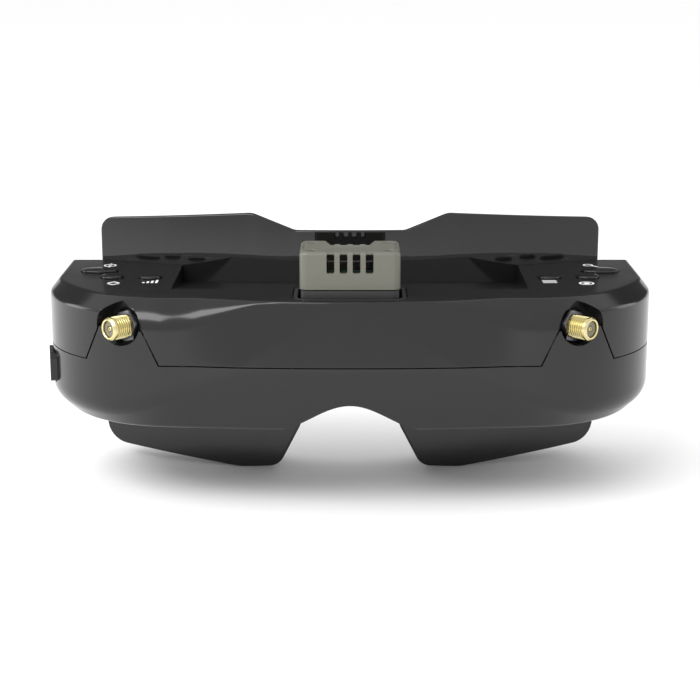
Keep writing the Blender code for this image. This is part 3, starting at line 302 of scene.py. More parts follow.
# ---- finishes ------------------------------------------------------------------------------------
class Finish:
    """A material's node tree, with short ways to add to it."""

    def __init__(self, name, colour, roughness, metallic=0.0, **inputs):
        self.material = bpy.data.materials.new(name)
        self.material.use_nodes = True
        self.tree = self.material.node_tree
        self.shader = self.tree.nodes["Principled BSDF"]
        self.shader.inputs["Base Color"].default_value = (*colour, 1)
        self.shader.inputs["Roughness"].default_value = roughness
        self.shader.inputs["Metallic"].default_value = metallic
        for key, value in inputs.items():
            self.shader.inputs[key.replace("_", " ")].default_value = value
        self.place = self.tree.nodes.new("ShaderNodeTexCoord").outputs["Object"]

    def node(self, kind, **settings):
        made = self.tree.nodes.new(kind)
        for key, value in settings.items():
            setattr(made, key, value)
        return made

    def noise(self, scale, detail):
        made = self.node("ShaderNodeTexNoise")
        made.inputs["Scale"].default_value = scale
        made.inputs["Detail"].default_value = detail
        self.tree.links.new(self.place, made.inputs["Vector"])
        return made.outputs["Fac"]

    def spread(self, source, low, high, start=0.3, end=0.7):
        made = self.node("ShaderNodeMapRange")
        for key, value in (("From Min", start), ("From Max", end), ("To Min", low), ("To Max", high)):
            made.inputs[key].default_value = value
        self.tree.links.new(source, made.inputs["Value"])
        return made.outputs["Result"]

    def tint(self, source, dark, light):
        made = self.node("ShaderNodeMix", data_type="RGBA")
        made.inputs[6].default_value = (*dark, 1)
        made.inputs[7].default_value = (*light, 1)
        self.tree.links.new(source, made.inputs[0])
        self.tree.links.new(made.outputs[2], self.shader.inputs["Base Color"])
        return self

    def rough(self, source, low, high):
        self.tree.links.new(self.spread(source, low, high), self.shader.inputs["Roughness"])
        return self

    def bump(self, source, height):
        """Adds relief of this height, over any that is there already."""
        made = self.node("ShaderNodeBump")
        made.inputs["Strength"].default_value = 1.0
        made.inputs["Distance"].default_value = height
        self.tree.links.new(source, made.inputs["Height"])
        normal = self.shader.inputs["Normal"]
        if normal.links:
            self.tree.links.new(normal.links[0].from_socket, made.inputs["Normal"])
        self.tree.links.new(made.outputs["Normal"], normal)
        return self


def grey(value):
    return (value, value, value)


def moulded(name, dark, light, roughness, grain=2600, relief=0.012 * MM, **inputs):
    """Moulded plastic: an even colour with a faint drift, and a fine spark-eroded grain."""
    made = Finish(name, dark, roughness[0], **inputs)
    made.tint(made.noise(28, 3), dark, light)
    made.rough(made.noise(90, 4), *roughness)
    made.bump(made.noise(grain, 2), relief)
    return made.material


def metal(name, dark, light, roughness):
    made = Finish(name, dark, roughness[0], 1.0)
    made.tint(made.noise(260, 3), dark, light)
    made.rough(made.noise(700, 3), *roughness)
    made.bump(made.noise(2400, 2), 0.004 * MM)
    return made.material


def cellular(name, dark, light, cells, relief):
    """Open-celled foam or looped pile: small cells over a soft drift, with a dusty sheen."""
    made = Finish(name, dark, 0.9, Sheen_Weight=0.3, Sheen_Roughness=0.5)
    pores = made.node("ShaderNodeTexVoronoi")
    pores.inputs["Scale"].default_value = cells
    made.tree.links.new(made.place, pores.inputs["Vector"])
    made.tint(made.spread(pores.outputs["Distance"], 0.0, 1.0, 0.1, 0.75), light, dark)
    made.rough(made.noise(cells * 0.3, 3), 0.84, 0.96)
    made.bump(made.noise(cells * 0.2, 3), relief * 0.5)
    made.bump(pores.outputs["Distance"], relief * 0.8)
    return made.material


CASING = moulded(
    "casing_satin",
    grey(0.0085),
    grey(0.0105),
    roughness=(0.16, 0.19),
    grain=2600,
    relief=0.004 * MM,
    Specular_IOR_Level=0.42,
)
PLATE = moulded("faceplate_gloss", grey(0.008), grey(0.009), (0.02, 0.03), 300, 0.001 * MM)
INNER = moulded("inner_matt", grey(0.014), grey(0.02), (0.5, 0.62), 1900, 0.02 * MM)
CARRIER = moulded("carrier_black", grey(0.02), grey(0.026), (0.38, 0.48))
MODULE = moulded("module_grey", (0.112, 0.112, 0.089), (0.126, 0.126, 0.101), (0.36, 0.42), 2300, 0.008 * MM)
KEYCAP = moulded(
    "keycap_rubber",
    grey(0.006),
    grey(0.009),
    roughness=(0.14, 0.20),
    grain=1700,
    relief=0.004 * MM,
    Specular_IOR_Level=0.4,
)
INK = moulded("pad_print", grey(0.78), grey(0.86), (0.45, 0.55), 1200, 0.004 * MM)
BRASS = metal("gold_flash", (0.60, 0.52, 0.25), (0.70, 0.62, 0.33), (0.20, 0.30))
NUT = metal("black_oxide", (0.10, 0.10, 0.11), (0.16, 0.16, 0.17), (0.25, 0.38))
STEEL = metal("plain_steel", (0.42, 0.42, 0.43), (0.52, 0.52, 0.53), (0.22, 0.34))
DARK_SCREW = metal("screw_black", (0.06, 0.06, 0.065), (0.10, 0.10, 0.105), (0.30, 0.42))
FOAM = cellular("foam_skin", grey(0.010), grey(0.030), 1250, 0.22 * MM)
BACKING = cellular("loop_fabric", grey(0.008), grey(0.020), 2600, 0.10 * MM)
BOARD = moulded("solder_mask", (0.012, 0.07, 0.03), (0.018, 0.10, 0.045), (0.28, 0.4), 700, 0.02 * MM)
SCREEN = moulded("screen_glass", (0.006, 0.006, 0.008), (0.010, 0.010, 0.013), (0.04, 0.08), 500, 0.001 * MM)
LENS = moulded(
    "lens_acrylic",
    (0.96, 0.97, 0.99),
    (0.98, 0.99, 1.0),
    roughness=(0.005, 0.012),
    grain=90,
    relief=0.0002 * MM,
    Transmission_Weight=1.0,
    IOR=1.49,
)
TAN = moulded("insulator_tan", (0.13, 0.115, 0.07), (0.17, 0.15, 0.10), (0.45, 0.6), 900, 0.02 * MM)


# ---- casing --------------------------------------------------------------------------------------
def smooth_step(value, low, high):
    share = min(1, max(0, (value - low) / (high - low)))
    return share * share * (3 - 2 * share)


def casing_plan(front=56, corner=40):
    """Points and outward normals of half the casing's plan, from the middle of the front."""
    stations = []
    for i in range(front):
        x = FRONT_HALF * i / front
        lean = math.asin(x / FRONT_RADIUS)
        stations.append((x, FRONT_RADIUS * (1 - math.cos(lean)), lean))
    start = math.asin(FRONT_HALF / FRONT_RADIUS)
    cx = FRONT_HALF - CORNER_RADIUS * math.sin(start)
    cy = FRONT_RADIUS * (1 - math.cos(start)) + CORNER_RADIUS * math.cos(start)
    for i in range(corner + 1):
        lean = start + (math.pi / 2 - start) * i / corner
        stations.append((cx + CORNER_RADIUS * math.sin(lean), cy - CORNER_RADIUS * math.cos(lean), lean))
    side = REAR_Y - FRONT_Y
    for share in (0.33, 0.67, 1.0):
        stations.append((cx + CORNER_RADIUS, cy + (side - cy) * share, math.pi / 2))
    return [(x, d, math.sin(lean), -math.cos(lean)) for x, d, lean in stations]


FILLET_STEPS = 7


def filleted(points, radii):
    """An open chain of corners, each inner one rounded to its radius by the same count of points."""
    chain = [points[0]]
    for i in range(1, len(points) - 1):
        here, before, after = Vector(points[i]), Vector(points[i - 1]), Vector(points[i + 1])
        back, on = before - here, after - here
        reach = min(radii[i], 0.48 * back.length, 0.48 * on.length)
        first, last = here + back.normalized() * reach, here + on.normalized() * reach
        for k in range(FILLET_STEPS + 1):
            t = k / FILLET_STEPS
            chain.append(tuple(first * (1 - t) ** 2 + here * 2 * t * (1 - t) + last * t * t))
    chain.append(points[-1])
    return chain


def casing_section(x, d, inset):
    """The casing's upright section at a station, from the deck's edge down, as (how far in, height)."""
    corner = smooth_step(x, 18 * MM, FRONT_HALF)
    side = smooth_step(d, CORNER_RADIUS * 0.45, CORNER_RADIUS)
    chamfer = 5.0 * MM * corner * (1 - side) + 2.8 * MM * side
    round_corner = smooth_step(x, FRONT_HALF + 4 * MM, FRONT_HALF + 14 * MM)
    drop = max(0.6 * MM, corner * (5.3 - 1.8 * round_corner) * MM)
    lean = 2.2 * MM * (1 - corner)
    low = smooth_step(x, 24 * MM, 70 * MM)
    wall_low = SEAM_Z - 1.0 * MM - (SEAM_Z - 1.0 * MM - BASE_Z - 5.2 * MM) * low
    points = [
        (inset + chamfer + lean + 2.4 * MM, DECK_Z - inset),
        (inset + chamfer + lean, DECK_Z - inset),
        (inset + lean * 0.9, DECK_Z - inset * 0.6 - drop),
        (inset, SEAM_Z),
        (inset, wall_low),
        (inset + 5.5 * MM, BASE_Z + inset),
        (inset + 8.4 * MM, BASE_Z + inset),
    ]
    if inset:
        return points
    crease = (5.0 * (1 - round_corner) * corner + 1.2 * (1 - corner) + 0.7 * round_corner) * MM
    chain = filleted(points, (0, 0.6 * MM, crease, 2.0 * MM, 3.0 * MM, 1.2 * MM, 0))
    above = 1 + 2 * (FILLET_STEPS + 1)  # first point of the fold along the parting line
    (top_in, top_z), (low_in, low_z) = chain[above - 1], chain[above]
    rise = []  # more rows between the deck's chamfer and the parting line, for fold_front to move
    for k in range(1, 12):
        rise.append((top_in + (low_in - top_in) * k / 12, top_z + (low_z - top_z) * k / 12))
    chain[above:above] = rise
    return chain


def fold_front(obj):
    """Lets the front fall back outside the raised three-cornered panel over the nose."""
    for point in obj.data.vertices:
        x, z = abs(point.co.x), point.co.z
        inward = point.co.y - FRONT_Y - FRONT_RADIUS + math.sqrt(FRONT_RADIUS**2 - x**2)
        reach = 2.4 * MM + 5.0 * MM * smooth_step(x, 18 * MM, FRONT_HALF)
        share = min(1, max(0, (DECK_Z - z) / (DECK_Z - SEAM_Z)))
        edge = (5 + 25 * share) * MM
        fall = 0.045 * max(0.0, x - edge) * (1 - smooth_step(x, 40 * MM, 52 * MM))
        low = 1 - smooth_step(SEAM_Z - z, 0, 14 * MM)
        point.co.y += fall * low * (1 - smooth_step(inward, reach, reach + 2 * MM))


def casing_block(inset=0.0):
    """The casing lofted along its plan as a closed block, or the block inside its wall."""
    stations = casing_plan() if not inset else casing_plan(20, 16)
    across = [(-x, d, -nx, ny) for x, d, nx, ny in reversed(stations[1:])] + stations
    points, faces = [], []
    for x, d, nx, ny in across:
        for inward, z in casing_section(abs(x), d, inset):
            points.append((x - nx * inward, FRONT_Y + d - ny * inward, z))
    rows, tall = len(across), len(points) // len(across)
    at = lambda i, k: i * tall + k % tall
    for i in range(rows - 1):
        for k in range(tall - 1):
            faces.append((at(i, k), at(i, k + 1), at(i + 1, k + 1), at(i + 1, k)))
    for k in (0, -1):
        for i in range(rows // 2):
            j = rows - 1 - i
            strip = [at(i, k), at(i + 1, k), at(j - 1, k), at(j, k)]
            faces.append(strip if j - 1 > i + 1 else strip[:2] + strip[3:])
    faces.append([at(0, k) for k in range(tall)] + [at(rows - 1, k) for k in reversed(range(tall))])
    return outwards(from_points("casing", points, faces=faces))


def nose_arch(grow=0.0):
    """The arch over the nose, run through the casing's depth."""
    half, rise = 21 * MM + grow, 7.6 * MM + grow
    low, steps = BASE_Z - 12 * MM, 24  # steps on each side of the middle
    arch = []
    for i in range(2 * steps + 1):
        x = half * (1 - i / steps)
        arch.append((x, BASE_Z + rise * (0.5 + 0.5 * math.cos(math.pi * x / half))))
    return slab([(half, low), *arch, (-half, low)], deep(-10), deep(90), "Y")


def valley(low=0.0):
    """The dip across the rear of the deck, which falls 4 mm in 28 mm."""
    slope = 4.0 / 28.0
    front, back = deep(20), deep(90)
    profile = [
        (front, DECK_Z - low),
        (back, DECK_Z - low - slope * (back - front)),
        (back, 80 * MM),
        (front, 80 * MM),
    ]
    half = 49.4 * MM + low
    return slab(profile, -half, half, "X")


def plate_lean(obj):
    """Tips what was made upright so that its top leans back."""
    pivot = Vector((0, PLATE_Y, PLATE_MID_Z))
    lean = Matrix.Rotation(-PLATE_LEAN, 4, "X")
    obj.matrix_world = Matrix.Translation(pivot) @ lean @ Matrix.Translation(-pivot)
    return settle(obj)


def bent(front, back):
    """What lies between two bent sheets, at these distances behind the faceplate's front."""
    centre = PLATE_Y + PLATE_RADIUS
    steps, reach = 120, math.asin(100 * MM / PLATE_RADIUS)
    outline = []
    for offset, way in ((front, 1), (back, -1)):
        radius = PLATE_RADIUS - offset
        for i in range(steps + 1):
            turn = way * reach * (2 * i / steps - 1)
            outline.append((radius * math.sin(turn), centre - radius * math.cos(turn)))
    return plate_lean(slab(outline, -30 * MM, 110 * MM, "Z"))


def jack_axis(side):
    return Vector((side * math.sin(JACK_YAW), -math.cos(JACK_YAW), 0))


def jack_base(side):
    return Vector((side * JACK.x, JACK.y, JACK.z))


def seam_line(grow=0.0):
    """What lies under the parting line, seen from the front."""
    ear = [
        (JACK.x - 7.9 * MM - grow, SEAM_Z + grow),
        (JACK.x - 3.5 * MM - grow, JACK.z - 0.8 * MM + grow),
        (JACK.x - 1.9 * MM, JACK.z + grow),
        (JACK.x + 8.6 * MM + grow, JACK.z + grow),
        (JACK.x + 12.8 * MM + grow, SEAM_Z + grow),
    ]
    right = [*ear, (110 * MM, SEAM_Z + grow), (110 * MM, -10 * MM)]
    return [(-x, z) for x, z in reversed(right)] + right


BUTTONS = {  # left-hand and right-hand cap: how far in from the side, depth, half length, half width
    ("tracker_button", "search_button"): (13.2 * MM, 45.4, 5.2 * MM, 3.1 * MM),
    ("channel_button", "record_button"): (17.9 * MM, 36.6, 3.1 * MM, 3.1 * MM),
    ("band_button", "mode_button"): (28.9 * MM, 36.2, 3.1 * MM, 3.1 * MM),
}


def each_button():
    for names, (inward, d, a, b) in BUTTONS.items():
        for name, side in zip(names, SIDES):
            yield name, side * (HALF_WIDTH - inward), deep(d), a, b


def hollow_casing():
    """The whole casing as one shell, with a solid boss round each jack."""
    shell = casing_block()
    cavity = casing_block(WALL)
    cut(shell, nose_arch(), valley(), bent(-GAP, 60 * MM))
    cut(cavity, nose_arch(WALL), valley(WALL))
    for side in SIDES:
        base, axis = jack_base(side), jack_axis(side)
        cut(cavity, rod(base - axis * 1.6 * MM, base + axis * 24 * MM, JACK_BOSS, 64))
    return cut(shell, cavity)


def cut_jack_holes(shell):
    """Each jack's pocket, thread hole and nut seat."""
    for side in SIDES:
        base, axis = jack_base(side), jack_axis(side)
        cut(
            shell,
            rod(base, base + axis * 24 * MM, JACK_POCKET, 64),
            rod(base - axis * 9 * MM, base + axis * MM, 3.475 * MM, 48),
            rod(base - axis * 5.6 * MM, base - axis * 1.6 * MM, 4.4 * MM, 48),
        )


def room_for(node, radius):
    """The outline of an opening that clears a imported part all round."""
    low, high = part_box(node)
    x, y, _ = middle_of(node)
    return oblong(x, y, high.x - low.x + 2 * GAP, high.y - low.y + 2 * GAP, radius)


def cut_deck_holes(shell):
    cut(shell, slab(room_for("module_bay", 4.2 * MM), DECK_Z - 12 * MM, DECK_Z + 5 * MM))
    for _, x, y, a, b in each_button():
        hole = ellipse(x, y, a + BUTTON_GAP, b + BUTTON_GAP)
        cut(shell, slab(hole, DECK_Z - 6 * MM, DECK_Z + 2 * MM))


def cut_base_holes(shell):
    under, over = BASE_Z - 2 * MM, BASE_Z + 4 * MM
    for word in SIDES.values():
        x, y, _ = middle_of("ipd_knob_" + word)
        cut(shell, slab(oblong(x, y, 8.8 * MM, 3.7 * MM, 0.3 * MM), under, over))
    for name, radius in (("dc_jack", 1.5), ("av_jack", 2.4), ("hdmi_port", 0.8), ("card_slot", 0.6)):
        cut(shell, slab(room_for(name, radius * MM), under, over))
    for i in range(SCREW_COUNT):
        x, y, _ = middle_of(f"case_screw_{i + 1}")
        cut(shell, rod((x, y, under), (x, y, over), 2.2 * MM, 32))


def make_casing():
    shell = hollow_casing()
    cut_jack_holes(shell)
    cut_deck_holes(shell)
    cut(shell, switch_block(BUTTON_GAP, -6 * MM, 6 * MM))
    cut_base_holes(shell)
    upper = twin(shell, "upper_casing")
    cut(upper, slab(seam_line(GAP / 2), deep(-20), deep(100), "Y"))
    for side in SIDES:
        base, axis = jack_base(side), jack_axis(side)
        cut(upper, rod(base + axis * 0.7 * MM, base + axis * 24 * MM, JACK_SCOOP, 64))
    shell.name = "lower_casing"
    keep(shell, slab(seam_line(-GAP / 2), deep(-20), deep(100), "Y"))
    for half, node in ((upper, "upper_shell"), (shell, "lower_shell")):
        fold_front(half)
        soften(half, 0.22 * MM, 2, 32)
        place(half, "housing", CASING, node, slot="shell_black")


# ---- power switch --------------------------------------------------------------------------------
def switch_place():
    """The power button's middle, on the rounded corner of the side wall."""
    start = math.asin(FRONT_HALF / FRONT_RADIUS)
    cy = FRONT_RADIUS * (1 - math.cos(start)) + CORNER_RADIUS * math.cos(start)
    rise = math.sqrt(CORNER_RADIUS**2 - (cy - POWER_DEPTH) ** 2)
    return Vector((-(HALF_WIDTH - CORNER_RADIUS + rise), FRONT_Y + POWER_DEPTH, POWER_Z))


def switch_turn(obj):
    """Moves a piece that was made facing along X to the power button's place."""
    turn = Matrix.Rotation(math.pi + POWER_TURN, 4, "Z")
    obj.matrix_world = Matrix.Translation(switch_place()) @ turn
    return settle(obj)


def switch_block(grow, inner, outer):
    width, height = POWER_LENGTH + 2 * grow, POWER_HEIGHT + 2 * grow
    outline = oblong(0, 0, width, height, POWER_CORNER + grow)
    return switch_turn(slab(outline, inner, outer, "X"))


def switch_band(inner, outer, low, high, name):
    """A round band about the X axis, its sizes in millimetres."""
    profile = in_mm((inner, low), (outer, low), (outer, high), (inner, high), (inner, low))
    return turned(profile, (0, 0, 0), (1, 0, 0), 48, name)


def make_switch():
    outline = oblong(0, 0, POWER_LENGTH, POWER_HEIGHT, POWER_CORNER, 8)
    cap = slab(outline, -2.6 * MM, 1.0 * MM, "X", "power_cap")
    cut(cap, switch_band(1.55, 2.05, 0.82, 1.4, "groove"))
    soften(switch_turn(cap), 0.45 * MM, 3, 50)
    place(cap, "power_switch_cap", KEYCAP, "power_button", slot="rubber_black")
    mark = switch_turn(switch_band(1.6, 2.0, 0.7, 0.9, "power_ring"))
    place(smooth(mark), "power_switch_cap", INK)


# ---- faceplate and foam --------------------------------------------------------------------------
def plate_line(inset=0.0, nose=0.0):
    """The faceplate's outline from the front, each corner with its own radius."""
    half = PLATE_HALF - inset
    right = [
        (16.2 * MM - inset * 0.4, 71.1 * MM - inset, 5 * MM),
        (28.9 * MM - inset * 0.4, 76.0 * MM - inset, 6 * MM),
        (half, 73.4 * MM - inset, 4 * MM),
        (half - 0.8 * MM, 5.6 * MM + inset, 7 * MM),
        (33 * MM, -0.1 * MM + inset, 12 * MM),
        (21.2 * MM + nose, 0.5 * MM + inset, 5 * MM),
        (15.0 * MM + nose, 12.5 * MM, 6 * MM),
        (8.6 * MM + nose, 29 * MM + nose, 8 * MM),
    ]
    return right + [(-x, z, r) for x, z, r in reversed(right)]


def curl(obj):
    """Rolls a flat piece lying at Y = 0 round the face, and tips it back."""
    strips, half = 72, 78 * MM
    sliced(obj, (1, 0, 0), [half * (2 * i / strips - 1) for i in range(1, strips)])
    return rolled(obj)


def rolled(obj, keep_width=False):
    """Bends a flat piece to the faceplate's curve, and can keep its rear as wide as it was."""
    for point in obj.data.vertices:
        radius = PLATE_RADIUS - point.co.y
        turn = math.asin(point.co.x / (radius if keep_width else PLATE_RADIUS))
        point.co.x = radius * math.sin(turn)
        point.co.y = PLATE_Y + PLATE_RADIUS - radius * math.cos(turn)
    return plate_lean(obj)


def make_faceplate():
    plate = slab(rounded(plate_line(), 0, 8), 0, 2.4 * MM, "Y", "face_plate")
    for side in SIDES:
        window = oblong(side * WINDOW_X, WINDOW_Z, WINDOW_WIDTH, WINDOW_HEIGHT, 5 * MM)
        cut(plate, slab(window, -5 * MM, 8 * MM, "Y"))
    soften(plate, 0.55 * MM, 3, 50)
    rib = slab(rounded(plate_line(2.6 * MM), 0, 8), 1.9 * MM, 6 * MM, "Y")
    cut(rib, slab(rounded(plate_line(3.6 * MM), 0, 8), 1 * MM, 8 * MM, "Y"))
    cut(plate, rib)
    curl(plate)
    for i in range(SCREW_COUNT):
        low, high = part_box(f"faceplate_screw_{i + 1}")
        x, _, z = middle_of(f"faceplate_screw_{i + 1}")
        cut(plate, rod((x, high.y - 2.2 * MM, z), (x, high.y + 6 * MM, z), 2.15 * MM, 32))
        cut(plate, rod((x, low.y - 6 * MM, z), (x, high.y, z), 1.35 * MM, 24))
    smooth(plate, 35)
    place(plate, "housing", PLATE, "faceplate", slot="shell_black")


def foam_opening(grow):
    """The outline of the foam's opening for the eyes and nose, made wider by a margin."""
    band = 10.6 * MM - grow
    inner = [
        (PLATE_HALF - band, 61.4 * MM + grow, 8 * MM),
        (PLATE_HALF - band, 17.4 * MM - grow, 9 * MM),
        (30 * MM - grow * 0.6, 13.8 * MM - grow, 7 * MM),
        (19.5 * MM - grow, 33.6 * MM, 7 * MM),
    ]
    return rounded(inner + [(-x, z, r) for x, z, r in reversed(inner)], 0, 6)


def puff(pad, limit):
    """Fills the pad with pressure, and holds the swelling to a limit."""
    start = [point.co.copy() for point in pad.data.vertices]
    pick(pad)
    cloth = pad.modifiers.new("fill", "CLOTH")
    cloth.settings.use_pressure = True
    cloth.settings.uniform_pressure_force = 4
    cloth.settings.effector_weights.gravity = 0
    cloth.settings.quality = 6
    for moment in range(1, 21):
        bpy.context.scene.frame_set(moment)
    graph = bpy.context.evaluated_depsgraph_get()
    puffed = [point.co.copy() for point in pad.evaluated_get(graph).data.vertices]
    pad.modifiers.remove(cloth)
    bpy.context.scene.frame_set(1)
    for point, was, now in zip(pad.data.vertices, start, puffed):
        move = now - was
        if move.length > limit:
            move *= limit / move.length
        point.co = was + move


def make_foam():
    outline = rounded(plate_line(2.6 * MM, 2.0 * MM), 0, 6)
    pad = slab(outline, 3.6 * MM, 14.0 * MM, "Y", "foam_cushion")
    cut(pad, slab(foam_opening(-0.6 * MM), -2 * MM, 20 * MM, "Y"))
    modify(pad, "REMESH", mode="VOXEL", voxel_size=1.9 * MM)
    puff(pad, 1.0 * MM)
    modify(pad, "SMOOTH", factor=0.5, iterations=4)
    for point in pad.data.vertices:
        point.co.y = max(point.co.y, 3.25 * MM)  # just clear of the backing
    modify(pad, "SUBSURF", levels=1, render_levels=1)
    rolled(pad, keep_width=True)
    pick(pad)
    bpy.ops.object.shade_smooth()
    place(pad, "housing", FOAM, "face_foam", slot="foam_black")


def make_backing():
    """The thin strip of looped cloth that holds the foam."""
    outline = rounded(plate_line(1.9 * MM, 1.2 * MM), 0, 8)
    backing = slab(outline, 2.5 * MM, 3.2 * MM, "Y", "loop_backing")
    cut(backing, slab(foam_opening(0.9 * MM), -2 * MM, 20 * MM, "Y"))
    soften(backing, 0.15 * MM, 1, 50)
    curl(backing)
    place(smooth(backing, 40), "housing", BACKING)


# ---- antenna jacks -------------------------------------------------------------------------------
def thread_profile(length, thread):
    """The jack from its mouth down the thread, over the collar, to the solder end."""
    pitch, tail = 0.706 * MM, -1.9 * MM
    profile = [
        (0, 3.6 * MM),
        (2.25 * MM, 3.6 * MM),
        (2.25 * MM, length - 0.15 * MM),
        (2.4 * MM, length),
        (2.7 * MM, length),
        (thread - 0.02 * MM, length - 0.5 * MM),
        (thread, length - 0.6 * MM),
        (thread, length - 1.2 * MM),
        (thread - 0.4 * MM, length - 1.45 * MM),
        (thread - 0.4 * MM, length - 1.55 * MM),
    ]
    for i in range(6):
        top = length - 1.7 * MM - i * pitch
        profile += [
            (thread - 0.06 * MM, top),
            (thread, top - 0.08 * MM),
            (thread, top - 0.2 * MM),
            (thread - 0.42 * MM, top - 0.42 * MM),
            (thread - 0.42 * MM, top - 0.52 * MM),
        ]
    return profile + [
        (thread - 0.05 * MM, 1.62 * MM),
        (thread - 0.05 * MM, tail),
        (4.0 * MM, tail),
        (4.1 * MM, tail - 0.1 * MM),
        (4.1 * MM, tail - 1.1 * MM),
        (4.0 * MM, tail - 1.2 * MM),
        (2.4 * MM, tail - 1.2 * MM),
        (2.4 * MM, tail - 6.4 * MM),
        (2.1 * MM, tail - 6.7 * MM),
        (0, tail - 6.7 * MM),
    ]


def make_nut(base, axis, word):
    across = 8.0 / math.sqrt(3)  # corner radius in millimetres of a nut 8 mm across its flats
    nut = rod(base + axis * 0.3 * MM, base + axis * 1.9 * MM, across * MM, 6, name="hex_nut_" + word)
    crown = in_mm((0, 0.3), (4.15, 0.3), (4.7, 0.62), (4.7, 1.58), (4.15, 1.9), (0, 1.9))
    keep(nut, turned(crown, base, axis, 64))
    cut(nut, rod(base - axis * MM, base + axis * 4 * MM, 3.3 * MM, 64))
    place(smooth(nut, 20), "housing", NUT, "antenna_nut_" + word, slot="black_metal")


def make_jack(side, word):
    base, axis = jack_base(side), jack_axis(side)
    jack = turned(thread_profile(7.6 * MM, 3.175 * MM), base, axis, 96, "threaded_jack_" + word)
    place(smooth(jack, 24), "housing", BRASS, "antenna_jack_" + word, slot="brass")
    make_nut(base, axis, word)

    outside = in_mm((0, 3.7), (2.15, 3.7), (2.15, 7.0), (2.05, 7.1), (0.95, 7.1))
    inside = in_mm((0.8, 6.9), (0.72, 6.9), (0.72, 3.9), (0, 3.9))
    bead = turned(outside + inside, base, axis, 64, "insulator_bead_" + word)
    place(smooth(bead), "housing", TAN, "antenna_insulator_" + word, slot="insulator")

    outside = in_mm((0, 4.0), (0.55, 4.0), (0.6, 4.1), (0.6, 6.9), (0.5, 7.0))
    inside = in_mm((0.34, 7.0), (0.3, 6.9), (0.3, 4.6), (0, 4.6))
    socket = turned(outside + inside, base, axis, 32, "contact_sleeve_" + word)
    place(smooth(socket), "housing", BRASS, "antenna_contact_" + word, slot="brass")


# ---- receiver module -----------------------------------------------------------------------------
def bevel_rim(obj, height, width):
    """Rounds the edges that lie at a height."""
    pick(obj)
    for edge in obj.data.edges:
        ends = [obj.data.vertices[i].co.z for i in edge.vertices]
        edge.select = min(ends) > height - 1e-5
    for group in (obj.data.polygons, obj.data.vertices):
        for item in group:
            item.select = False
    bpy.context.tool_settings.mesh_select_mode = (False, True, False)
    bpy.ops.object.mode_set(mode="EDIT")
    bpy.ops.mesh.bevel(offset=width, segments=5, affect="EDGES", clamp_overlap=True)
    bpy.ops.object.mode_set(mode="OBJECT")


def hollow_cover(cover, front, rear):
    """Takes out the cover's inside, deeper behind the slots, and its sloping thumb rest."""
    middle, top = (front + rear) / 2, MODULE_TOP
    inside = oblong(0, middle, MODULE_WIDTH - 3.0 * MM, MODULE_DEPTH - 3.0 * MM, 0.9 * MM, 4)
    cut(cover, slab(inside, MODULE_SKIRT - 5 * MM, top - 2.6 * MM))
    low, behind, before = top - 5.4 * MM, front + 1.5 * MM, rear - 1.5 * MM
    cut(cover, block((-8 * MM, behind, low), (8 * MM, behind + 8 * MM, top - 1.05 * MM)))
    cut(cover, block((-8 * MM, before - 2.5 * MM, low), (8 * MM, before, top - 2.1 * MM)))
    ramp = slab([(-4.5 * MM, 0), (4.5 * MM, 0), (7.6 * MM, 13 * MM), (-7.6 * MM, 13 * MM)], 0, 5 * MM)
    slope = Matrix.Rotation(-math.atan2(1.15, 11), 4, "X")
    ramp.matrix_world = Matrix.Translation((0, rear - 11 * MM, top)) @ slope
    cut(cover, settle(ramp))


def slot_cover(cover, front, rear):
    """Air slots and notches at the front and rear, and finger grips at the sides."""
    middle, top, half = (front + rear) / 2, MODULE_TOP, MODULE_WIDTH / 2
    for i in range(4):
        x = (i - 1.5) * 3.5 * MM
        for y, way in ((front, 1), (rear, -1)):
            reach = sorted((y - way * 2 * MM, y + way * 3.2 * MM))
            cut(cover, slab(oblong(x, top - 3.3 * MM, 2.1 * MM, 5.1 * MM, 0.45 * MM, 4), *reach, "Y"))
            notch = sorted((y - way * 2 * MM, y + way * 0.7 * MM))
            cut(cover, slab(oblong(x, top, 2.0 * MM, 2.0 * MM), *notch, "Y"))
    for i in range(5):
        y = middle + (i - 2) * 2.1 * MM
        for side in SIDES:
            foot = (side * (half + 0.25 * MM), y, top - 3.6 * MM)
            head = (side * (half - 1.5 * MM), y, top + MM)
            cut(cover, rod(foot, head, 0.55 * MM, 16))


def make_module_cover():
    front, rear = deep(7.0), deep(25.5)
    top = MODULE_TOP
    outline = oblong(0, (front + rear) / 2, MODULE_WIDTH, MODULE_DEPTH, 2.2 * MM, 10)
    cover = slab(outline, MODULE_SKIRT, top, "Z", "receiver_cover")
    bevel_rim(cover, top, 1.15 * MM)
    hollow_cover(cover, front, rear)
    slot_cover(cover, front, rear)
    for i in range(SCREW_COUNT):
        x, y, _ = middle_of(f"module_screw_{i + 1}")
        cut(cover, rod((x, y, top - 2.5 * MM), (x, y, top + MM), 1.3 * MM, 32))
        cut(cover, rod((x, y, top - 0.28 * MM), (x, y, top + 0.3 * MM), 1.3 * MM, 32, tip=1.9 * MM))
    soften(cover, 0.1 * MM, 2, 42)
    place(cover, "receiver_module", MODULE, "module_cover", slot="module_grey")


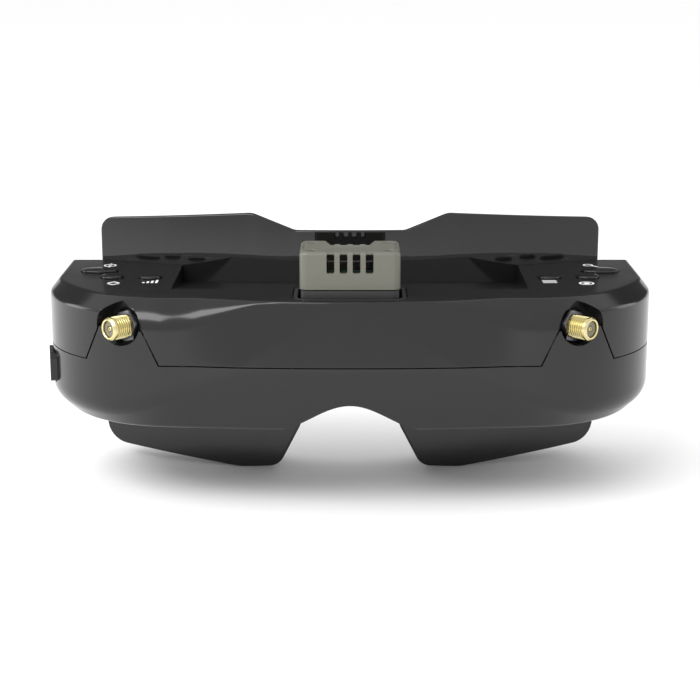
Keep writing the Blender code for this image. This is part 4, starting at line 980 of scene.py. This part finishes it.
def make_screw(node, body, centre, axis, head, shank, reach, finish, name):
    """A crossed pan head whose face is at the centre, with its shank running against the axis."""
    profile = [
        (0, 0),
        (head * 0.72, 0),
        (head * 0.93, -0.10 * MM),
        (head, -0.24 * MM),
        (head, -0.75 * MM),
        (shank, -0.8 * MM),
        (shank, -reach + 0.4 * MM),
        (shank * 0.5, -reach),
        (0, -reach),
    ]
    screw = turned(profile, (0, 0, 0), (0, 0, 1), 40, name)
    for turn in (0.4, 0.4 + math.pi / 2):
        half, thick = head * 0.62, head * 0.13
        blade = block((-half, -thick, -0.42 * MM), (half, thick, 0.5 * MM))
        blade.rotation_euler.z = turn
        cut(screw, settle(blade))
    stand(screw, axis)
    screw.location = centre
    settle(screw)
    place(smooth(screw, 30), body, finish, node)


SCREWS = {  # kind: new name, body, way it faces, head and shank radius, length, finish
    "module_screw": ("cover_screw", "receiver_module", (0, 0, 1), 1.1 * MM, 0.7 * MM, 1.9 * MM, STEEL),
    "case_screw": ("base_screw", "housing", (0, 0, -1), 1.9 * MM, 1.0 * MM, 6.7 * MM, DARK_SCREW),
    "faceplate_screw": ("plate_screw", "housing", (0, 1, 0), 1.8 * MM, 1.0 * MM, 6.4 * MM, DARK_SCREW),
}


def make_screws():
    for i in range(SCREW_COUNT):
        for kind, (name, body, axis, head, shank, reach, finish) in SCREWS.items():
            node = f"{kind}_{i + 1}"
            low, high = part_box(node)
            centre = list(middle_of(node))
            for k, way in enumerate(axis):
                if way:
                    centre[k] = high[k] if way > 0 else low[k]
            make_screw(node, body, centre, axis, head, shank, reach, finish, f"{name}_{i + 1}")


def make_module():
    make_module_cover()
    refined("module_carrier", "receiver_module", CARRIER, 0.25 * MM, "receiver_carrier")
    refined("module_bay", "housing", CARRIER, 0.3 * MM, "receiver_bay")
    refined("module_plug", "receiver_module", INNER, 0.12 * MM, "pin_socket")
    refined("module_board", "receiver_module", BOARD, 0.08 * MM, "receiver_board")


# ---- buttons and their marks ---------------------------------------------------------------------
def dome_profile(radius):
    """A button cap from the middle of its crown, over its edge and flange, to its foot."""
    crown, foot = DECK_Z + 0.9 * MM, DECK_Z - 4.0 * MM
    profile = [(0, crown)]
    for k in range(1, 10):
        turn = math.radians(10 * k)
        out = radius * (0.5 + 0.5 * math.sin(turn)) if k > 1 else radius * 0.36
        profile.append((out, crown - 0.62 * MM * (1 - math.cos(turn)) ** 1.15))
    flange, under, over = radius + 0.8 * MM, DECK_Z - 2.9 * MM, DECK_Z - 2.1 * MM
    profile += [(radius, over), (flange, over), (flange, under), (radius, under)]
    return profile + [(radius, foot), (0, foot)]


def make_buttons():
    for name, x, y, a, b in each_button():
        cap = turned(dome_profile(b), (0, 0, 0), (0, 0, 1), 64, "domed_" + name)
        if a > b:
            for point in cap.data.vertices:
                spread = point.co.x / max(b, math.hypot(point.co.x, point.co.y))
                point.co.x += (a - b) * spread
        for point in cap.data.vertices:
            point.co += Vector((x, y, 0))
        body = name.replace("_button", "_cap")
        place(smooth(outwards(cap), 38), body, KEYCAP, name, slot="rubber_black")


def stroke(points, width, closed=False):
    """A printed line of even width, as one four-cornered shape for each of its runs."""
    parts = []
    for (ax, ay), (bx, by) in zip(points, points[1:] + points[:1] if closed else points[1:]):
        start, end = Vector((ax, ay, 0)), Vector((bx, by, 0))
        along = (end - start).normalized()
        side = Vector((0, 0, 1)).cross(along) * width / 2
        run = along * width * 0.18
        corners = (start - run - side, end + run - side, end + run + side, start - run + side)
        parts.append([tuple(corner[:2]) for corner in corners])
    return parts


def disc(radius):
    return ellipse(0, 0, radius, radius, 16)


def ring(cx, cy, radius, width):
    return stroke(ellipse(cx, cy, radius, radius, 28), width, True)


def make_mark(name, shapes, x, d, size=1.0):
    """One printed sign, a hair over the deck. Strokes that cross lie at slightly different heights."""
    lift = DECK_Z + 0.015 * MM
    points, faces = [], []
    for shape in shapes:
        start = len(points)
        z = lift + 0.002 * MM * (start % 3)
        points += [(x + px * MM * size, deep(d) + py * MM * size, z) for px, py in shape]
        faces.append(tuple(range(start, start + len(shape))))
    obj = from_points(name, points, faces=faces)
    in_edit(obj, lambda: bpy.ops.mesh.normals_make_consistent(inside=False))
    modify(obj, "SOLIDIFY", thickness=0.02 * MM, offset=0)
    place(obj, "housing", INK)


def make_marks():
    chevrons = stroke([(-1.5, 0.5), (0, 2.0), (1.5, 0.5)], 0.62)
    chevrons += stroke([(-1.5, -0.5), (0, -2.0), (1.5, -0.5)], 0.62)
    bars, lines = [], []
    for i in range(4):
        x = i * 1.2 - 1.8
        bars += stroke([(x, -1.9), (x, -0.9 + i * 0.95)], 0.66)
    for y in (-1.5, 0, 1.5):
        lines += stroke([(-1.9, y), (1.9, y)], 0.55)
    target = ring(0, 0, 1.75, 0.5) + [disc(0.55)]
    target += stroke([(0, 2.0), (0, 2.8)], 0.5) + stroke([(0, -2.8), (0, -2.0)], 0.5)
    record = ring(0, 0, 1.9, 0.5) + [disc(0.935)]
    glass = ring(-0.5, 0.5, 1.35, 0.5) + stroke([(0.55, -0.55), (2.0, -2.0)], 0.7)
    make_mark("mark_channel", chevrons, -66.3 * MM, 28.0)
    make_mark("mark_band", bars, -56.2 * MM, 30.4)
    make_mark("mark_tracker", target, -70.6 * MM, 54.6, 0.95)
    make_mark("mark_record", record, 66.3 * MM, 28.0)
    make_mark("mark_mode", lines, 56.2 * MM, 30.4)
    make_mark("mark_search", glass, 70.6 * MM, 54.6, 0.95)


# ---- optics, boards, fan and sockets -------------------------------------------------------------
def refined(node, body, finish, width, name, slot=None):
    """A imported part's own shape with its edges broken."""
    obj = twin(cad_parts[node], name)
    obj.parent = None
    obj.hide_render = obj.hide_viewport = False
    for key in list(obj.keys()):
        del obj[key]
    settle(obj)
    in_edit(
        obj,
        lambda: bpy.ops.mesh.remove_doubles(threshold=2e-6),
        lambda: bpy.ops.mesh.dissolve_limited(angle_limit=math.radians(1.5)),
    )
    soften(obj, width, 2, 35)
    return place(obj, body, finish, node, slot=slot)


def make_lens(word):
    """A lens whose faces fall away towards its rim."""
    low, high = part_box("eye_lens_" + word)
    x, y, z = middle_of("eye_lens_" + word)
    width, height = high.x - low.x, high.z - low.z
    lens = slab(oblong(x, z, width, height, 3.5 * MM, 8), low.y, high.y, "Y", "viewing_lens_" + word)
    sliced(lens, (1, 0, 0), [low.x + width * i / 12 for i in range(1, 12)])
    sliced(lens, (0, 0, 1), [low.z + height * i / 9 for i in range(1, 9)])
    for point in lens.data.vertices:
        across, up = (point.co.x - x) / (width / 2), (point.co.z - z) / (height / 2)
        fall = min(1.0, (across**2 + up**2) / 1.6)
        way = 1 if point.co.y > y else -1
        point.co.y -= way * 1.5 * MM * fall
    place(smooth(lens, 40), "optics_" + word, LENS, "eye_lens_" + word, slot="lens")


def make_insides():
    for word in SIDES.values():
        body = "optics_" + word
        refined("eyepiece_" + word, body, INNER, 0.25 * MM, "lens_barrel_" + word)
        refined("display_" + word, body, SCREEN, 0.15 * MM, "screen_panel_" + word, slot="glass_black")
        refined("ipd_knob_" + word, body, KEYCAP, 0.15 * MM, "spacing_slider_" + word)
        refined("ipd_rail_" + word, "housing", STEEL, 0.15 * MM, "slide_rail_" + word, slot="steel")
        refined("strap_loop_" + word, "housing", INNER, 0.25 * MM, "strap_anchor_" + word)
        board = "button_board_" + word
        refined("control_board_" + word, "housing", BOARD, 0.08 * MM, board, slot="board_green")
        make_lens(word)
    refined("rear_frame", "housing", INNER, 0.2 * MM, "optics_frame")
    refined("main_board", "housing", BOARD, 0.08 * MM, "video_board", slot="board_green")
    refined("fan_frame", "housing", INNER, 0.15 * MM, "fan_housing")
    refined("fan_rotor", "fan_wheel", CARRIER, 0.08 * MM, "fan_impeller")
    refined("power_switch", "housing", INNER, 0.2 * MM, "switch_body")
    refined("dc_jack", "housing", CARRIER, 0.18 * MM, "supply_socket")
    refined("av_jack", "housing", CARRIER, 0.15 * MM, "signal_socket")
    refined("hdmi_port", "housing", STEEL, 0.12 * MM, "video_socket", slot="steel")
    refined("card_slot", "housing", STEEL, 0.1 * MM, "card_socket", slot="steel")


# ---- camera, light and floor ---------------------------------------------------------------------
def make_stage():
    target = Vector((0, deep(0), 47.3 * MM))
    pitch, distance = math.radians(13.5), 480 * MM
    back = Vector((0, -math.cos(pitch), math.sin(pitch)))
    bpy.ops.object.camera_add(location=target + back * distance)
    camera = bpy.context.object
    camera.rotation_euler = (math.pi / 2 - pitch, 0, 0)
    camera.data.sensor_width = 36
    camera.data.lens = 92.5714
    camera.data.clip_start, camera.data.clip_end = 0.01, 100
    bpy.context.scene.camera = camera

    bpy.ops.mesh.primitive_plane_add(size=12, location=(0, 0, -0.2 * MM))
    floor = bpy.context.object
    floor.name = "floor"
    floor.data.materials.append(Finish("floor_paint", grey(0.93), 0.9).material)

    upright = (math.pi / 2, 0, 0)
    bpy.ops.mesh.primitive_plane_add(size=1, location=(0, 0.42, 0.36), rotation=upright)
    flag = bpy.context.object  # seen in reflections only
    flag.name = "grey_flag"
    flag.scale = (1.8, 0.5, 1)
    flag.visible_camera = flag.visible_diffuse = False
    flag.visible_shadow = flag.visible_transmission = False
    flag.data.materials.append(Finish("flag_felt", grey(0.05), 0.95).material)

    world = bpy.context.scene.world or bpy.data.worlds.new("studio")
    bpy.context.scene.world = world
    world.use_nodes = True
    sky = world.node_tree.nodes["Background"]
    sky.inputs["Color"].default_value = (1, 1, 1, 1)
    sky.inputs["Strength"].default_value = 1.05

    aim = (0, 0, 45 * MM)

    def panel(name, where, size, power):
        bpy.ops.object.light_add(type="AREA", location=where)
        light = bpy.context.object
        light.name = name
        light.data.shape = "RECTANGLE"
        light.data.size, light.data.size_y = size
        light.data.energy = power
        towards = Vector(aim) - Vector(where)
        light.rotation_euler = towards.to_track_quat("-Z", "Y").to_euler()

    panel("key", (-0.5, -0.5, 0.75), (1.0, 0.4), 8)
    panel("side_left", (-0.7, 0.1, 0.15), (0.3, 0.5), 1.6)
    panel("side_right", (0.7, 0.15, 0.2), (0.3, 0.5), 0.9)
    bpy.context.scene.view_settings.view_transform = "Standard"


make_casing()
make_switch()
make_faceplate()
make_foam()
make_backing()
for side, word in SIDES.items():
    make_jack(side, word)
make_module()
make_screws()
make_buttons()
make_marks()
make_insides()
make_stage()
